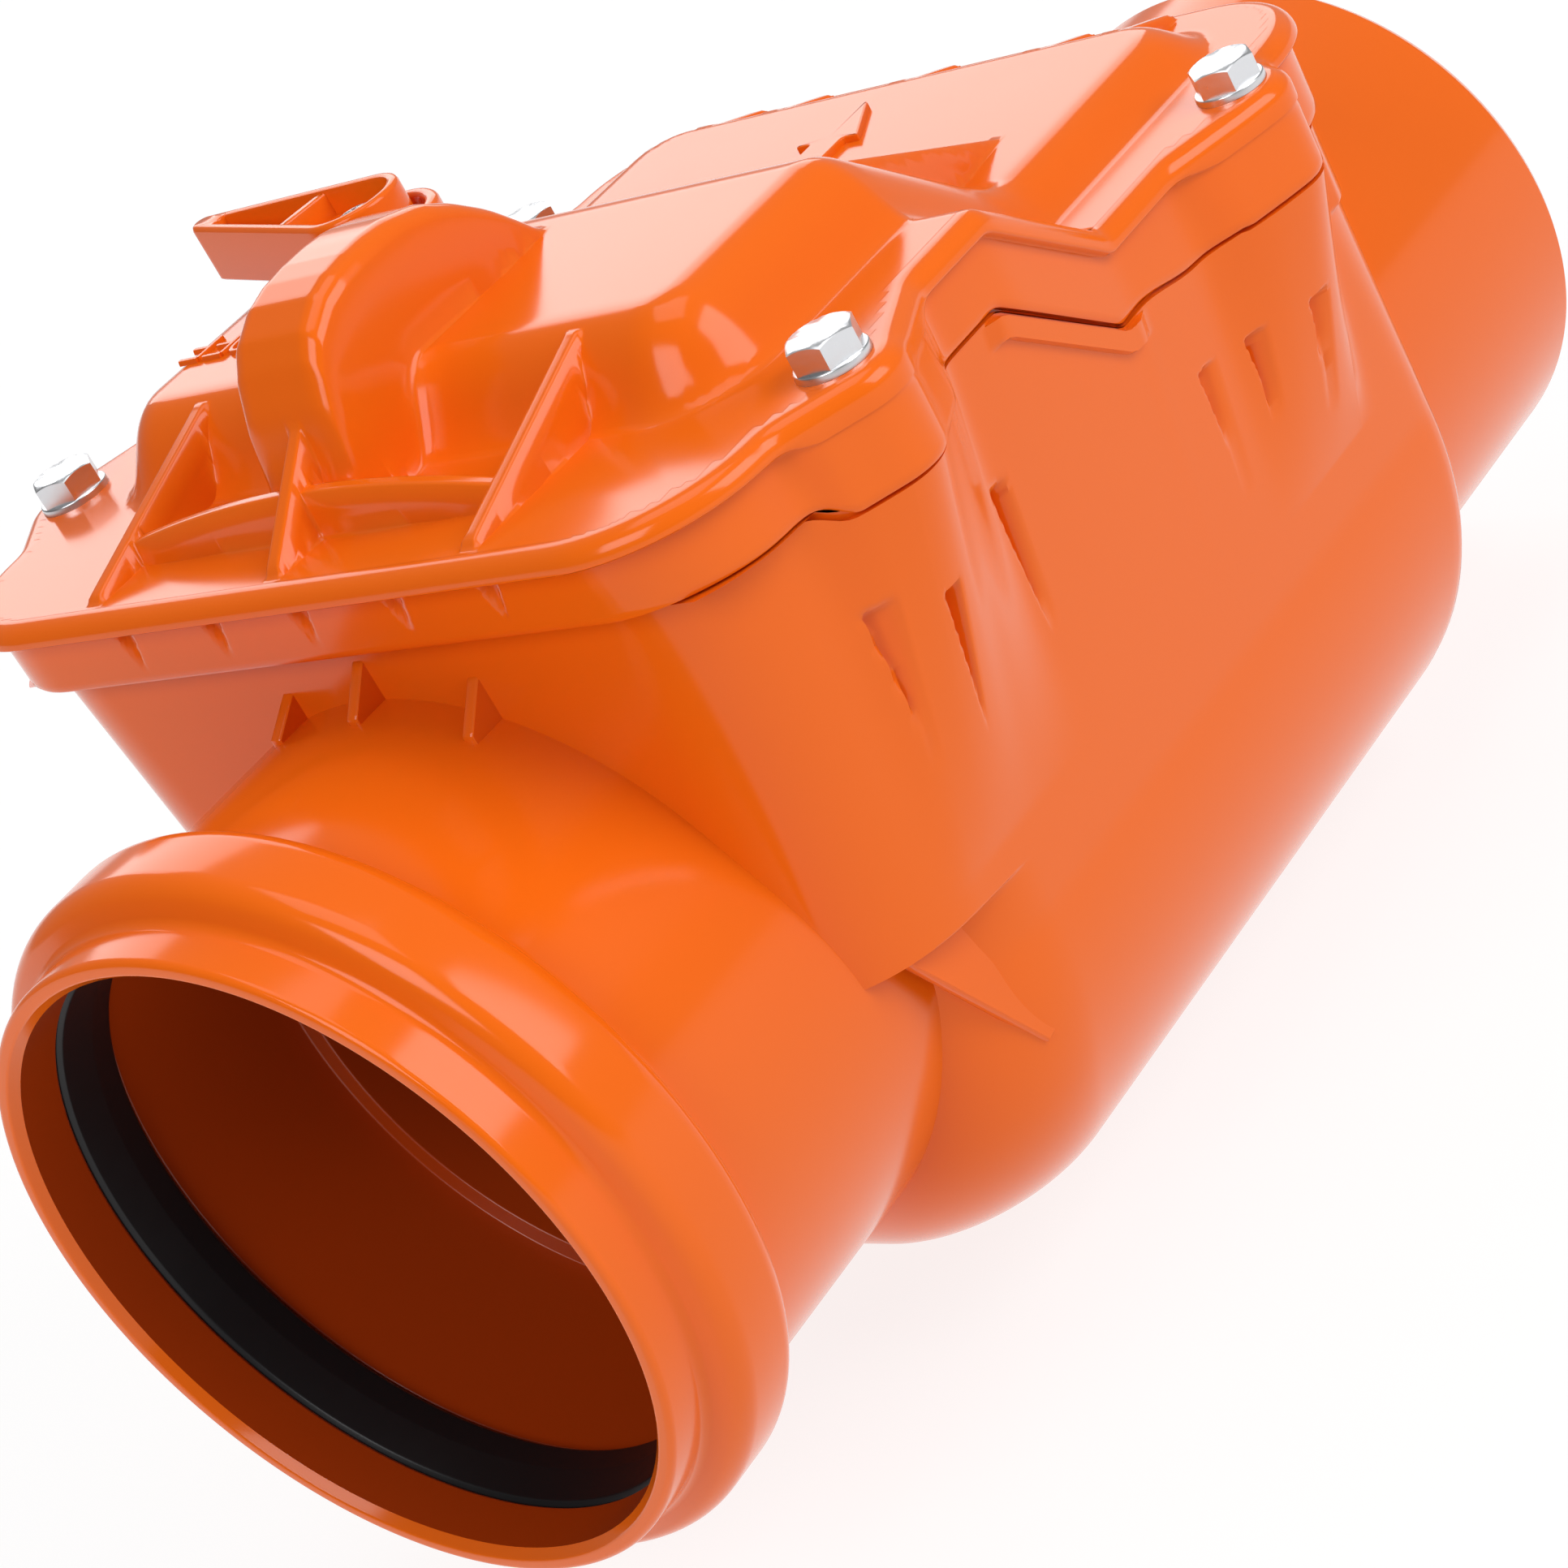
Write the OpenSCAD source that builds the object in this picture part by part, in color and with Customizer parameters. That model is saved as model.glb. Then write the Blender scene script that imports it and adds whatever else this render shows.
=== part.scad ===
// Backwater valve for a 110 mm drain pipe.
// Millimetres. The origin is the centre of the socket mouth on the inlet axis,
// +X runs downstream to the outlet spigot and +Z is up.

/* [Pipe ends] */
// Outside diameter of the drain pipe and of the outlet spigot
pipe_d = 110; // [104:1:112]
// Radial clearance of the pipe in the socket
pipe_clear = 0.4; // [0.1:0.05:0.5]
// Wall thickness of the mouldings
wall = 3.2; // [2.6:0.1:3.6]
// How far a pipe goes into the socket
socket_depth = 57; // [50:1:60]
// Length of the straight lip in front of the bulge
lip_len = 9; // [7:0.5:12]
// Length of the bulge that holds the sealing ring
bulge_len = 16.5; // [15.5:0.5:20]
// How far the bulge stands out from the lip
bulge_rise = 6; // [4:0.5:8]
// How far the outlet axis lies below the inlet axis
outlet_drop = 14.5; // [10:0.5:18]
// Length of the outlet spigot past the outlet wall
spigot_len = 71.5; // [50:0.5:90]

/* [Body] */
// Distance from the pipe stop to the face of the front wall
front_wall_gap = 4; // [3:0.5:8]
// Length of the body between the front and outlet walls
body_len = 179; // [175:1:190]
// Radius of the round bottom of the body
trough_r = 67; // [66:0.5:70]
// Sideways slope of the side walls, per unit of height
side_draft = 0.166; // [0.12:0.002:0.18]
// Front corner radius of the body seen from above
body_corner_r = 22; // [14:1:24]
// Height of the underside of the front corners above the inlet axis
front_block_z = -3; // [-5:1:4]
// Radius where the round bottom turns up at the front
trough_front_r = 30; // [20:1:34]

/* [Cover] */
// Height of the cover flange above the inlet axis at the inlet half
flange_z = 83; // [82:0.5:86]
// How far the flange steps down to the outlet half
step_drop = 20; // [16:0.5:22]
// Length of the slope between the two halves
step_len = 27.5; // [24:0.5:32]
// Distance from the flange front to the start of the slope
step_at = 84; // [80:0.5:88]
// Length of the cover flange
flange_len = 191.8; // [190:0.2:196]
// Half width of the flange at the inlet half
flange_hw_in = 83.5; // [83:0.5:86]
// Half width of the flange at the outlet half
flange_hw_out = 79.5; // [79:0.5:82]
// Corner radius of the flange
flange_corner_r = 24; // [18:1:28]
// Thickness of the flange plate
plate_t = 4; // [3:0.25:5]
// Depth of the skirt below the top of the flange
skirt_h = 14; // [12:0.5:16]
// How far the flange lip stands out over the skirt
lip_over = 2; // [1:0.25:3]
// Height of the lever plateau above the flange
dome_h_in = 13.2; // [12:0.2:15]
// Height of the arrow plateau above the flange
dome_h_out = 5.8; // [5:0.2:8]
// Half width of the dome at the inlet half
dome_hw_in = 68; // [64:0.5:70]
// Half width of the dome at the outlet half
dome_hw_out = 64.3; // [60:0.5:66]
// Width of the hump over the flap arm
hump_w = 19.5; // [18:0.5:22]
// Radius of the rear of the hump
hump_back_r = 37; // [36:0.5:39]
// Radius of the front of the hump
hump_front_r = 24; // [22:0.5:25]

/* [Fasteners] */
// Thread diameter of the cover bolts
bolt_d = 6; // [5:1:6]
// Width across the flats of the bolt heads
bolt_af = 10; // [8:0.5:11]
// Height of the bolt heads
bolt_head_h = 4; // [3:0.5:5]
// Thickness of the washers
washer_t = 1.2; // [0.8:0.1:1.6]

/* [Flap] */
// Distance of the hinge axis behind the front wall
hinge_back = 34; // [33:0.5:35]
// Height of the hinge axis above the inlet axis
hinge_z = 78; // [77:0.5:79]
// Diameter of the hinge pin
hinge_d = 6; // [5:0.5:7]
// Running clearance of the pin in the bushes
run_clear = 0.05; // [0.02:0.01:0.08]
// Slant of the closed flap
flap_tilt = 6; // [4:0.5:8]
// Thickness of the flap plate
flap_t = 4; // [3:0.5:5]
// Thickness of the flap seal
seal_t = 3; // [2.5:0.25:4]
// Radius of the flap plate
flap_r = 58; // [57:0.5:59]
// Length of the lock arm on the flap hanger
arm_r = 32; // [30:0.5:33]

/* [Lever] */
// Distance of the lever axis from the hinge axis
lever_back = 32; // [31:0.5:33]
// Sideways place of the lever axis
lever_y = 24.5; // [24:0.5:26]
// Length of the lever from its axis to the tip
lever_len = 43.6; // [38:0.2:46]
// Height of the lever
lever_h = 10.2; // [8:0.2:12]
// Angle of the lever past the cross direction, at rest
lever_rest = 8; // [5:0.5:10]
// Diameter of the lock spindle
spindle_d = 10; // [8:0.5:11]
// Length of the lock finger from the lever axis
finger_len = 25; // [24:0.25:25.5]

/* [Hidden] */
$fn = 96;
gap = 0.4;
eps = 0.01;
pipe_r = pipe_d / 2;
bore_r = pipe_r + pipe_clear;
lip_r = bore_r + wall + gap;
bulge_r = lip_r + bulge_rise;
bulge_edge = 6;
seal_w = bulge_len - 2 * wall - 1;
seal_x = lip_len + bulge_len / 2;
groove_r = bulge_r - wall;
front_x = socket_depth + front_wall_gap;
rear_x = front_x + body_len;
passage_r = pipe_r - wall;
tube_r = passage_r + wall + 1.5;
end_x = rear_x + spigot_len;
rear_edge_r = 4.5;
fin_z = -29;
fin_t = 2.4;
neck_in = 26;
pocket_l = 26;
sole_l = 125;
sole_w = 38;
sole_h = 0.5;

// Cover and split line
flange_x = front_x - 7.5;
flange_end = flange_x + flange_len;
step_x = flange_x + step_at;
step_angle = atan(step_drop / step_len);
out_z = flange_z - step_drop;
lip_t = 4.5;
skirt_t = 2.6;
rim_gap = 1.4;
rim_in = lip_over + skirt_t + rim_gap;
rim_t = wall;
gasket_t = 2.4;
far = 400;

// Dome of the cover
dome_x = flange_x + 33.5;
dome_rise_x = 5.5;
dome_end = flange_end - 12.3;
dome_fall_x = 5.5;
dome_edge_x = step_x + 0.9;
dome_foot_x = step_x + step_len + 6.8;
dome_top = flange_z + dome_h_in;
dome_low = out_z + dome_h_out;
dome_corner_r = 10;
dome_side_draft = 0.3;
cross_rib_h = 7.5;
cross_rib_r = 216;

// Bolts
bolt_in_x = flange_x + 42;
bolt_out_x = flange_end - 38.1;
bolt_in_y = flange_hw_in + 0.4;
bolt_out_y = flange_hw_out - 0.3;
bolts = [[bolt_in_x, bolt_in_y, flange_z], [bolt_in_x, -bolt_in_y, flange_z],
         [bolt_out_x, bolt_out_y, out_z], [bolt_out_x, -bolt_out_y, out_z]];
ear_r = bolt_d * 1.5 + 1;
ear_over = 0.4;
bolt_clear = 0.3;
insert_r = bolt_d / 2 + 1.2;
insert_h = 8;
post_r = bolt_d / 2 + bolt_clear + 2;
bolt_len = 22;

// Hump, hinge and flap
hump_y = 1.5;
hump_edge_r = 4;
hinge_x = front_x + hinge_back;
hump_back = [hinge_x + 5, dome_top + 18.2 - hump_back_r];
hump_front = [hinge_x + 3, dome_top + 18.1 - hump_front_r];
pin_r = hinge_d / 2;
bush_t = 2;
hub_r = pin_r + bush_t + 3;
hub_w = hump_w - 2 * wall - 0.7;
lug_t = 4;
side_gap = 0.5;
lug_in = hub_w / 2 + side_gap;
lug_out = lug_in + lug_t;
clip_t = 0.8;
clip_groove = 0.6;
pin_end = lug_out + side_gap + clip_t + 1.5;
seat_n = 1.7;
seal_n = seat_n + 0.3;
plate_n = seal_n + seal_t;
back_n = plate_n + flap_t;
flap_s = hinge_z / cos(flap_tilt);
retainer_t = 2;
retainer_r = flap_r - 14;
retainer_in_r = retainer_r - 12;
screw_ring_r = (retainer_r + retainer_in_r) / 2;
retainer_count = 8;
flap_open = 60;
arm_w = 6;
pad_t = 4;
pad_w = 44;
pad_up = 23;
pad_down = 20;
arm_from = -30;
arm_to = 5;

// Lever and lock
lever_x = hinge_x + lever_back;
collar_base = 3;
collar_r = 12.8;
collar_t = 2.4;
collar_h = 4.9;
collar_edge = 1.1;
lever_z = dome_top + gap + collar_base;
lever_top = lever_z + lever_h;
lever_hub_r = 8.6;
lever_tip_r = 2.2;
lever_wall = 2;
lever_floor = lever_top - 4.5;
lever_end = 7;
finger_gap = 0.8;
finger_z = hinge_z + arm_r * sin(arm_to) + finger_gap;
finger_t = 7;
finger_screw_l = 6.5;
boss_low = finger_z + finger_t + 0.6;
boss_r = spindle_d / 2 + 3.5;
o_ring_z = [boss_low + 1, boss_low + 4];
spindle_square = spindle_d * 0.62;
key_hw = spindle_d * 0.38;
lever_turn = 90 - lever_rest + 15.9;

// Helpers: turn a profile about X, lay a profile in the XZ or YZ plane
module along_x() { rotate([0, 90, 0]) children(); }
module along_y() { rotate([-90, 0, 0]) children(); }
module side_profile(w) { rotate([90, 0, 0]) linear_extrude(w, center = true) children(); }
module cross_profile(x0, l) { translate([x0, 0, 0]) rotate([90, 0, 90]) linear_extrude(l) children(); }
function flip(v) = [for (i = [len(v) - 1 : -1 : 0]) v[i]];

// Line that follows the stepped flange, at a depth below its top
function step_line(depth) =
    let (s = -depth * tan(step_angle / 2))
    [[flange_x - far, flange_z - depth], [step_x + s, flange_z - depth],
     [step_x + step_len + s, out_z - depth], [flange_end + far, out_z - depth]];
module step_slab(top, low) {
    side_profile(far) polygon(concat(step_line(top), flip(step_line(low))));
}

// Outline of the flange seen from above, grown by g
module round_rect(x0, x1, hw, r, n = $fn) {
    translate([x0 + r, -hw]) square([x1 - x0 - 2 * r, 2 * hw]);
    translate([x0, -hw + r]) square([x1 - x0, 2 * (hw - r)]);
    for (x = [x0 + r, x1 - r], y = [-hw + r, hw - r]) translate([x, y]) circle(r, $fn = n);
}
module plan_core(g = 0) {
    r = flange_corner_r + g;
    x0 = flange_x - g;
    x1 = flange_end + g;
    hw0 = flange_hw_in + g;
    hw1 = flange_hw_out + g;
    x_in = step_x - 10;
    x_out = step_x + step_len + 10;
    translate([x0 + r, -hw0]) square([x_in - x0 - r, 2 * hw0]);
    translate([x0, r - hw0]) square([x_in - x0, 2 * (hw0 - r)]);
    translate([x_out - eps, -hw1]) square([x1 - r - x_out + eps, 2 * hw1]);
    translate([x_out - eps, r - hw1]) square([x1 - x_out + eps, 2 * (hw1 - r)]);
    side = [[x_in - eps, hw0], [step_x, hw0], [step_x + step_len, hw1], [x_out, hw1]];
    polygon(concat(side, [for (p = flip(side)) [p[0], -p[1]]]));
    for (s = [-1, 1]) {
        translate([x0 + r, s * (hw0 - r)]) circle(r);
        translate([x1 - r, s * (hw1 - r)]) circle(r);
    }
}
function plan_points(g) =
    let (r = flange_corner_r + g, n = 12, hw0 = flange_hw_in + g, hw1 = flange_hw_out + g,
         front = [for (i = [0 : n]) [flange_x - g + r - r * cos(90 * i / n), hw0 - r + r * sin(90 * i / n)]],
         rear = [for (i = [0 : n]) [flange_end + g - r + r * sin(90 * i / n), hw1 - r + r * cos(90 * i / n)]],
         half = concat(front, [[step_x, hw0], [step_x + step_len, hw1]], rear))
    concat(half, [for (p = flip(half)) [p[0], -p[1]]]);
module flange_plan(g = 0) {
    plan_core(g);
    ears(g);
}
module ears(g) {
    for (s = [-1, 1]) scale([1, s]) {
        translate([bolt_in_x, bolt_in_y]) circle(ear_r + g);
        polygon([[bolt_in_x - 20, flange_hw_in - 6], [bolt_in_x - 18, flange_hw_in + g],
                 [bolt_in_x - 7, bolt_in_y + ear_r * 0.72 + g], [bolt_in_x + 7, bolt_in_y + ear_r * 0.72 + g],
                 [bolt_in_x + 23, flange_hw_in + g], [bolt_in_x + 25, flange_hw_in - 6]]);
        translate([bolt_out_x, bolt_out_y]) circle(ear_r + g);
        polygon([[bolt_out_x - 24, flange_hw_out - 6], [bolt_out_x - 22, flange_hw_out + g],
                 [bolt_out_x - 6, bolt_out_y + ear_r * 0.76 + g], [bolt_out_x + 6, bolt_out_y + ear_r * 0.76 + g],
                 [bolt_out_x + 11, flange_hw_out + g], [bolt_out_x + 13, flange_hw_out - 6]]);
    }
}

// Body: everything inside the drafted side walls, inset by t
function side_y(z) = trough_r + side_draft * (z + outlet_drop);
// Rear corners are nearly sharp at the round bottom and follow the flange at the top
function rear_corner(z) =
    let (low = rear_edge_r + 2)
    low + (flange_corner_r - low) * (z + outlet_drop) / (flange_z + outlet_drop);
module drafted_box(x0, x1, z0, t) {
    rf = body_corner_r - t;
    hull() for (z = [z0, flange_z], s = [-1, 1]) translate([0, 0, z]) linear_extrude(eps) {
        rr = max(rear_corner(z) - t, eps);
        translate([x0 + t + rf, s * (side_y(z) - t - rf)]) circle(rf, $fn = 32);
        translate([x1 - t - rr, s * (side_y(z) - t - rr)]) circle(rr, $fn = 32);
    }
}
module trough(t) {
    r = trough_r - t;
    x0 = front_x + 12 + t;
    x1 = rear_x - t;
    top = outlet_drop + front_block_z + 2 * wall;
    translate([0, 0, -outlet_drop]) intersection() {
        along_x() rotate_extrude() {
            translate([0, x0]) square([r - trough_front_r, x1 - x0]);
            translate([0, x0 + trough_front_r]) square([r, x1 - x0 - trough_front_r - rear_edge_r]);
            translate([0, x1 - rear_edge_r - eps]) square([r - rear_edge_r, rear_edge_r + eps]);
            translate([r - trough_front_r, x0 + trough_front_r]) circle(trough_front_r);
            translate([r - rear_edge_r, x1 - rear_edge_r]) circle(rear_edge_r);
        }
        translate([0, -far / 2, top - far]) cube([far, far, far]);
    }
}
module body_outside() {
    drafted_box(front_x, rear_x - 2 * flange_corner_r, front_block_z, 0);
    drafted_box(front_x + trough_front_r + 12, rear_x, -outlet_drop - eps, 0);
    trough(0);
}
module body_inside() {
    z0 = -outlet_drop - eps;
    x0 = front_x + trough_front_r + body_corner_r;
    drafted_box(front_x, rear_x, front_block_z + wall, wall);
    cross_profile(x0, rear_x - wall - flange_corner_r - x0) polygon([
        [-side_y(z0) + wall, z0], [side_y(z0) - wall, z0],
        [side_y(flange_z) - wall, flange_z], [-side_y(flange_z) + wall, flange_z]]);
    trough(wall);
}
module socket_profile() {
    square([lip_r - 1.5, 3]);
    translate([0, 1.5]) square([lip_r, front_x + wall / 2 - 1.5]);
    translate([lip_r - 1.5, 1.5]) circle(1.5);
    translate([0, lip_len]) square([bulge_r - bulge_edge, bulge_len]);
    translate([0, lip_len + bulge_edge]) square([bulge_r, bulge_len - 2 * bulge_edge]);
    for (x = [lip_len + bulge_edge, lip_len + bulge_len - bulge_edge])
        translate([bulge_r - bulge_edge, x]) circle(bulge_edge);
}
// Half space on the upstream side of the seat, at n along the flap's normal
module upstream_of(n) {
    translate([hinge_x, 0, hinge_z]) rotate([0, -flap_tilt, 0])
        translate([n - far, -far / 2, -far / 2]) cube([far, far, far]);
}
// Column that runs from a body ear down into the side wall
module bolt_column(b, hw, back, ahead, drop, shift) {
    top = b[2] - skirt_h - gap;
    hull() {
        translate([0, 0, top - eps]) linear_extrude(eps) {
            translate([b[0], b[1]]) circle(ear_r - ear_over, $fn = 32);
            for (x = [b[0] - back, b[0] + ahead]) translate([x, hw - lip_over - 3]) circle(3, $fn = 16);
        }
        translate([b[0] + shift, side_y(top - drop) - 8, top - drop]) linear_extrude(eps) circle(7.5, $fn = 32);
    }
}
module bolt_columns() {
    for (s = [0, 1]) mirror([0, s, 0]) {
        bolt_column(bolts[0], flange_hw_in, 18, 21, 62, -12);
        bolt_column(bolts[2], flange_hw_out, 21, 11, 50, 2);
    }
}
module side_pockets() {
    lean = atan(side_draft);
    for (s = [-1, 1], p = [[84, 49], [101, 45], [120, 43], [176, 31], [193, 28], [208, 25]])
        translate([p[0], s * (side_y(p[1] - pocket_l) + 1.2), p[1] - pocket_l]) rotate([-s * lean, 0, 0])
            cylinder(h = pocket_l, r1 = 0.6, r2 = 3, $fn = 32);
}

module valve_body() {
    color("darkorange") difference() {
        union() {
            difference() {
                union() {
                    intersection() {
                        body_outside();
                        step_slab(skirt_h + gap, far);
                    }
                    along_x() rotate_extrude() socket_profile();
                    translate([front_x, 0, 0]) along_x() cylinder(h = neck_in, r = lip_r);
                    body_rim();
                    body_ears();
                    bolt_columns();
                    slope_ledge();
                    rear_band();
                    neck_gussets();
                    corner_gussets();
                    sole();
                    spigot();
                }
                intersection() {
                    body_inside();
                    linear_extrude(far, center = true) chamber_plan();
                }
                side_pockets();
            }
            intersection() {
                translate([front_x, 0, 0]) along_x() cylinder(h = far, r = tube_r);
                upstream_of(seat_n);
            }
        }
        translate([-1, 0, 0]) along_x() cylinder(h = socket_depth + 1, r = bore_r);
        translate([seal_x - seal_w / 2, 0, 0]) along_x() cylinder(h = seal_w, r = groove_r);
        along_x() cylinder(h = far / 2, r = passage_r);
        translate([rear_x - wall - 8, 0, -outlet_drop]) along_x() cylinder(h = far, r = passage_r);
        for (b = bolts) translate([b[0], b[1], b[2] - skirt_h - gap - insert_h])
            cylinder(h = insert_h + 1, r = insert_r);
        for (b = bolts) translate([b[0], b[1], b[2] - bolt_len - 2])
            cylinder(h = bolt_len, r = bolt_d / 2 + bolt_clear);
    }
}
// Outlines of the upstand inside the skirt and of the chamber opening in it
module rim_plan() {
    intersection() {
        polygon(plan_points(-rim_in));
        translate([front_x, -far / 2]) square([far, far]);
    }
}
module chamber_plan() {
    intersection() {
        polygon(plan_points(-rim_in - rim_t));
        translate([front_x + wall, -far / 2]) square([far, far]);
    }
}
module body_rim() {
    intersection() {
        step_slab(plate_t + gasket_t, skirt_h + 8);
        linear_extrude(far) rim_plan();
    }
}
module body_ears() {
    intersection() {
        step_slab(skirt_h + gap, skirt_h + gap + 6);
        linear_extrude(far) ears(-ear_over);
    }
}
module spigot() {
    l = spigot_len + wall;
    translate([rear_x - wall, 0, -outlet_drop]) along_x() rotate_extrude()
        polygon([[0, 0], [pipe_r, 0], [pipe_r, l - 2], [pipe_r - 1.2, l], [0, l]]);
}
// Flat sole under the round bottom
module sole() {
    translate([rear_x - sole_l - 8, -sole_w / 2, -outlet_drop - trough_r - sole_h])
        cube([sole_l, sole_w, sole_h + wall]);
}
// Narrow ledge of the body below the split, at the slope
module slope_ledge() {
    intersection() {
        step_slab(skirt_h + gap, skirt_h + 5.4);
        translate([step_x - 9, -far / 2, 0]) cube([step_len + 8, far, far]);
        translate([0, 0, -far / 2]) linear_extrude(far) difference() {
            plan_core(-lip_over + 0.6);
            chamber_plan();
        }
    }
}
// Thicker band below the split at the outlet end
module rear_band() {
    difference() {
        intersection() {
            step_slab(skirt_h + gap, skirt_h + 18);
            translate([rear_x - body_corner_r, -far / 2, 0]) cube([far, far, far]);
            translate([0, 0, -far / 2]) linear_extrude(far) difference() {
                plan_core(-lip_over - 1);
                chamber_plan();
            }
        }
        translate([rear_x, 0, -outlet_drop]) along_x() cylinder(h = far, r = pipe_r + 6);
    }
}
module neck_gussets() {
    for (y = [12, -4, -24]) translate([front_x - 9, y - 1.3, sqrt(lip_r * lip_r - y * y) - 2])
        rotate([90, 0, 0]) mirror([0, 0, 1]) linear_extrude(2.6)
            polygon([[0, 0], [10, 0], [10, 10], [8, 10], [0, 3]]);
}
// Fins under the overhanging front corners, in line with the side walls
module corner_gussets() {
    top = front_block_z + 1;
    back = front_x + trough_front_r + 11;
    for (s = [0, 1]) mirror([0, s, 0]) translate([0, trough_r - 0.2, 0]) rotate([90, 0, 0])
        linear_extrude(fin_t) polygon([
            [front_x + 6, top], [back, top], [back, fin_z + 9], [front_x + 23, fin_z]]);
}

// Cover: outer form inset by t
module dome(t) {
    intersection() {
        side_profile(far) polygon([
            [dome_x + t, flange_z - plate_t - t], [dome_x + t, flange_z - t],
            [dome_x + dome_rise_x + t, dome_top - t],
            [dome_edge_x - t * tan(step_angle / 2), dome_top - t],
            [dome_foot_x - t * tan(step_angle / 2), dome_low - t],
            [dome_end - dome_fall_x - t, dome_low - t],
            [dome_end - t, out_z - t], [dome_end - t, out_z - plate_t - t],
            [step_x + step_len, out_z - plate_t - t], [step_x, flange_z - plate_t - t]]);
        cross_profile(0, far) polygon([
            [-dome_hw_in - t - dome_side_draft * step_drop * 2, out_z - step_drop],
            [dome_hw_in + t + dome_side_draft * step_drop * 2, out_z - step_drop],
            [dome_hw_in - t - dome_side_draft * dome_h_in, dome_top],
            [-dome_hw_in + t + dome_side_draft * dome_h_in, dome_top]]);
        linear_extrude(far) dome_plan(t);
    }
}
module dome_plan(t) {
    r = dome_corner_r - t;
    for (p = [[dome_x, dome_edge_x + 20, dome_hw_in], [dome_foot_x - 20, dome_end, dome_hw_out]])
        round_rect(p[0] + t, p[1] - t, p[2] - t, r);
}
// Disc across the hump with rounded edges
module hump_disc(c, r, t) {
    hw = hump_w / 2 - t;
    e = max(hump_edge_r - t, 0.8);
    translate([c[0], hump_y, c[1]]) rotate([90, 0, 0]) rotate_extrude() {
        translate([0, -hw]) square([r - t - e, 2 * hw]);
        translate([0, -hw + e]) square([r - t, 2 * (hw - e)]);
        for (y = [-hw + e, hw - e]) translate([r - t - e, y]) circle(e);
    }
}
module hump(t, low) {
    split = hump_front[0];
    intersection() {
        hump_disc(hump_back, hump_back_r, t);
        translate([split, -far / 2, low]) cube([far, far, far]);
    }
    intersection() {
        hump_disc(hump_front, hump_front_r, t);
        translate([split + eps - far, -far / 2, low]) cube([far, far, far]);
    }
    translate([split - hump_front_r + t, hump_y - hump_w / 2 + t, low])
        cube([hump_front_r - t, hump_w - 2 * t, hump_front[1] - low]);
}
module skirt_pockets() {
    for (y = [38, 17.5, -2.5, -23, -43])
        translate([flange_x + lip_over - 0.4, y, flange_z - skirt_h + 2]) rotate([0, 6, 0])
            cylinder(h = skirt_h - lip_t - 2.5, r1 = 0.3, r2 = 2.4, $fn = 32);
}
module cover_ribs() {
    // Three ribs from the flange to the dome front, and the rib across them
    for (y = [-41.5, 0, 41.5]) translate([0, y, 0]) side_profile(3) polygon([
        [flange_x + 4, flange_z - 1], [flange_x + 4, flange_z + 1.2],
        [dome_x + dome_rise_x + 1, dome_top - 1.5], [dome_x + dome_rise_x + 1, flange_z - 1]]);
    intersection() {
        translate([flange_x + 15.4, -41.5, flange_z - 1]) cube([2.8, 83, 12]);
        translate([0, 0, flange_z + cross_rib_h - cross_rib_r]) along_x() cylinder(h = far, r = cross_rib_r);
    }
    // Two long ribs that brace the slope
    for (y = [-46, 45.7]) translate([0, y, 0]) side_profile(2.6) polygon([
        [dome_edge_x + 6, dome_top - 5.5], [dome_foot_x + 19, dome_low + 0.4],
        [dome_foot_x + 19, dome_low - 1], [dome_foot_x, dome_low - 1], [dome_edge_x + 6, dome_top - 8]]);
    // Five short ribs at the outlet end
    for (y = [-46.5, -30, 0, 30, 46.5]) translate([0, y, 0]) side_profile(3.6) polygon([
        [dome_end - dome_fall_x - 1, dome_low - 1], [dome_end + 9.5, out_z + 0.6],
        [dome_end + 9.5, out_z - 1], [dome_end - dome_fall_x - 1, out_z - 1]]);
}
module flow_arrow() {
    translate([dome_foot_x + 9.5, 0, dome_low - 1]) linear_extrude(2.2) {
        translate([0, -3.7]) square([22.5, 7.4]);
        polygon([[22, -7.1], [22, 7.1], [36, 0]]);
    }
}
module hinge_lugs() {
    for (s = [-1, 1]) translate([0, hump_y + s * (lug_in + lug_t / 2), 0]) side_profile(lug_t) {
        translate([hinge_x, hinge_z]) circle(hub_r - 1);
        polygon([[dome_x + 2, dome_top - wall + 1], [hinge_x + hub_r - 1, dome_top - wall + 1],
                 [hinge_x + hub_r - 1, hinge_z], [hinge_x - hub_r + 1, hinge_z], [dome_x + 2, flange_z]]);
    }
}
module cover() {
    color("darkorange") difference() {
        union() {
            difference() {
                union() {
                    intersection() {
                        linear_extrude(far) flange_plan(0);
                        step_slab(0, lip_t);
                    }
                    intersection() {
                        linear_extrude(far) {
                            plan_core(-lip_over);
                            ears(-ear_over);
                        }
                        step_slab(lip_t - eps, skirt_h);
                    }
                    dome(0);
                    hump(0, flange_z - 1);
                    cover_ribs();
                    flow_arrow();
                }
                difference() {
                    intersection() {
                        linear_extrude(far) flange_plan(-lip_over - skirt_t);
                        step_slab(plate_t, skirt_h + 1);
                    }
                    for (b = bolts) translate([b[0], b[1], 0]) cylinder(h = far, r = post_r);
                }
                dome(wall);
                hump(wall, flange_z - plate_t - 1);
                skirt_pockets();
            }
            hinge_lugs();
            translate([lever_x, lever_y, boss_low]) cylinder(h = dome_top - boss_low, r = boss_r);
        }
        for (b = bolts) translate([b[0], b[1], 0]) cylinder(h = far, r = bolt_d / 2 + bolt_clear);
        translate([lever_x, lever_y, 0]) cylinder(h = far, r = spindle_d / 2 + run_clear);
        translate([0, hump_y, hinge_z]) translate([hinge_x, -far / 4, 0]) along_y() cylinder(h = far / 2, r = pin_r);
    }
}

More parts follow.
